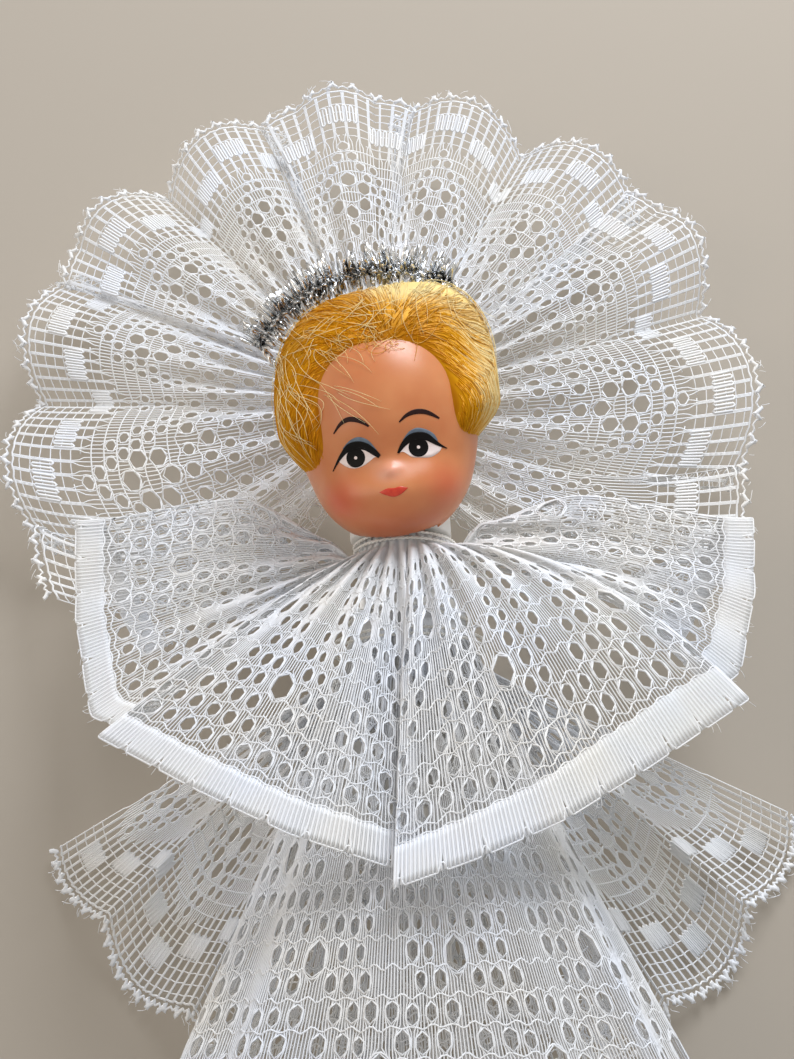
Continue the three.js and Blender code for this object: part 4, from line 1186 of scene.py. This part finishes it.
halo = {
    "radius": 27.0, "back": 3.0, "angles": (-51.0, 34.0),
    "core": 0.3, "coreApart": 0.32, "lay": 3.0, "step": 0.25,
    "coreAngles": (-50, 36, 18),   # degrees from and to, and how many points
    "ends": ((-57.0, 20.0), (43.0, 20.5)),   # degrees and radius where the core is in the hair
    "blades": 520, "bladeWidth": 0.95, "bladeLength": (3.0, 4.8),   # shorter towards the hair
    "sizes": (0.75, 1.1), "lean": 0.14, "bend": 0.5, "foil": 0.03, "taper": (1, 1, 0.9, 0.4),
}


def haloPoint(angle, radius):
    turn = np.radians(angle)
    return xyz(radius * np.sin(turn), halo["back"], radius * np.cos(turn))


def makeCore():
    middle = [(angle, halo["radius"]) for angle in np.linspace(*halo["coreAngles"])]
    points = haloPoint(*np.array([halo["ends"][0], *middle, halo["ends"][1]]).T)
    route, run = evenRoute(points, halo["step"])
    side = np.broadcast_to((0.0, 1.0, 0.0), route.shape)
    out = np.cross(unit(np.gradient(route, axis=0)), side)
    cores = twisted(route, run, side, out, halo["coreApart"], halo["lay"])
    part = tubes(fromHead(cores), np.stack([out, out]) @ headMatrix[:3, :3].T, halo["core"], 6)
    addPiece("halo_core", [part], "head", foil, ["halo_wire"])


def makeBlades():
    count = halo["blades"]
    angle = chance.uniform(*halo["angles"], count)
    turn = chance.uniform(0, tau, count)
    base = haloPoint(angle, halo["radius"])
    outward = unit(haloPoint(angle, 1.0) - (0, halo["back"], 0))
    back = np.array((0.0, 1.0, 0.0))
    forward = chance.normal(0, halo["lean"], (count, 1)) * np.cross(back, outward)
    aim = unit(np.cos(turn)[:, None] * outward + np.sin(turn)[:, None] * back + forward)
    width = unit(np.cross(aim, chance.normal(0, 1, (count, 3)))) * halo["bladeWidth"] / 2
    normal = unit(np.cross(aim, width))
    length = mix(*halo["bladeLength"], (1 + np.cos(turn)) / 2) * chance.uniform(*halo["sizes"], count)
    bend = chance.normal(0, halo["bend"], (count, 1)) * normal
    taper = np.array(halo["taper"])[:, None]
    stations = np.linspace(0.1, 1, len(taper))[:, None]
    parts = []
    for k in range(count):
        line = base[k] + aim[k] * length[k] * stations + bend[k] * stations ** 2
        top = np.stack([line - width[k] * taper, line + width[k] * taper], 1)
        thick = normal[k] * halo["foil"] / 2
        parts.append(shell(fromHead(top + thick), fromHead(top - thick)))
    addPiece("halo_blades", parts, "head", foil, ["halo_tinsel"])


makeCore()
makeBlades()


# stage, light and camera

stage = {"floorGap": 1.2, "floorSize": 1600.0, "floorColour": "#b1a89b",
         "worldLight": 0.5, "paper": "#d6d0c7"}


def highest(tree, first, second):
    return addNode(tree, "Math", {"operation": "MAXIMUM"}, {0: first, 1: second}), "Value"


def stageMaterial():
    # matt paper that the topper lies on, seen from its front only, and the lamp behind it shines through
    material, tree = newMaterial("mattPaperFloor")
    surface = addNode(tree, "NewGeometry")
    paper = addNode(tree, "BsdfDiffuse", {"Color": linear(stage["floorColour"])})
    clear = addNode(tree, "BsdfTransparent")
    path = addNode(tree, "LightPath")
    lets = highest(tree, (surface, "Backfacing"), (path, "Is Shadow Ray"))
    shown = addNode(tree, "MixShader", None, {0: lets, 1: (paper, "BSDF"), 2: (clear, "BSDF")})
    addNode(tree, "OutputMaterial", None, {"Surface": (shown, "Shader")})
    return material


def makeStage():
    depth = cadBox[1][1] + stage["floorGap"] * mm
    half = stage["floorSize"] * mm / 2
    mesh = bpy.data.meshes.new("floor")
    corners = [(-half, depth, -half), (half, depth, -half), (half, depth, half), (-half, depth, half)]
    mesh.from_pydata(corners, [], [(0, 1, 2, 3)])
    mesh.materials.append(stageMaterial())
    addObject("floor", mesh)

    world = bpy.data.worlds.new("studio")
    bpy.context.scene.world = world
    world.use_nodes = True
    tree = world.node_tree
    tree.nodes.clear()
    path = addNode(tree, "LightPath")
    light = addNode(tree, "Background", {"Color": (1, 1, 1, 1), "Strength": stage["worldLight"]})
    paper = addNode(tree, "Background", {"Color": linear(stage["paper"]), "Strength": 1.0})
    seen = path, "Is Camera Ray"
    for ray in ("Is Glossy Ray", "Is Transmission Ray"):
        seen = highest(tree, seen, (path, ray))
    sides = {0: seen, 1: (light, "Background"), 2: (paper, "Background")}
    shown = addNode(tree, "MixShader", None, sides)
    addNode(tree, "OutputWorld", None, {"Surface": (shown, "Shader")})


lamps = [
    # name, place in mm, side in mm, watts and colour
    ("key", (240, -400, 560), 330, 4.5, "#f1f6ff"),
    ("fill", (-520, -480, -20), 420, 0.9, "#ffeedd"),
    ("back", (-260, 520, 420), 400, 3.2, "#ffffff"),
]


def makeLamps():
    target = np.array((0, 0, 50.0))
    for name, place, side, watts, colour in lamps:
        data = bpy.data.lights.new(name, "AREA")
        data.shape = "SQUARE"
        data.size = side * mm
        data.energy = watts
        data.color = linear(colour)[:3]
        lamp = addObject(name, data)
        x, y, z = np.array(place, float) - target
        lamp.location = np.array(place) * mm
        lamp.rotation_euler = (math.atan2(math.hypot(x, y), z), 0, math.atan2(x, -y))


camera = {"place": (-1.3, -192.6, -20.1), "upward": 20.0, "roll": -2.4, "lens": 39.2, "nearest": 10}


def makeCamera():
    data = bpy.data.cameras.new("camera")
    data.lens = camera["lens"]
    data.clip_start = camera["nearest"] * mm
    view = addObject("camera", data)
    view.matrix_world = (Matrix.Translation([c * mm for c in camera["place"]])
                         @ Matrix.Rotation(math.radians(90 + camera["upward"]), 4, "X")
                         @ Matrix.Rotation(math.radians(camera["roll"]), 4, "Z"))
    bpy.context.scene.camera = view


makeStage()
makeLamps()
makeCamera()
bpy.context.scene.view_settings.view_transform = "Standard"
bpy.context.view_layer.update()
print("stage, lamps and camera set")
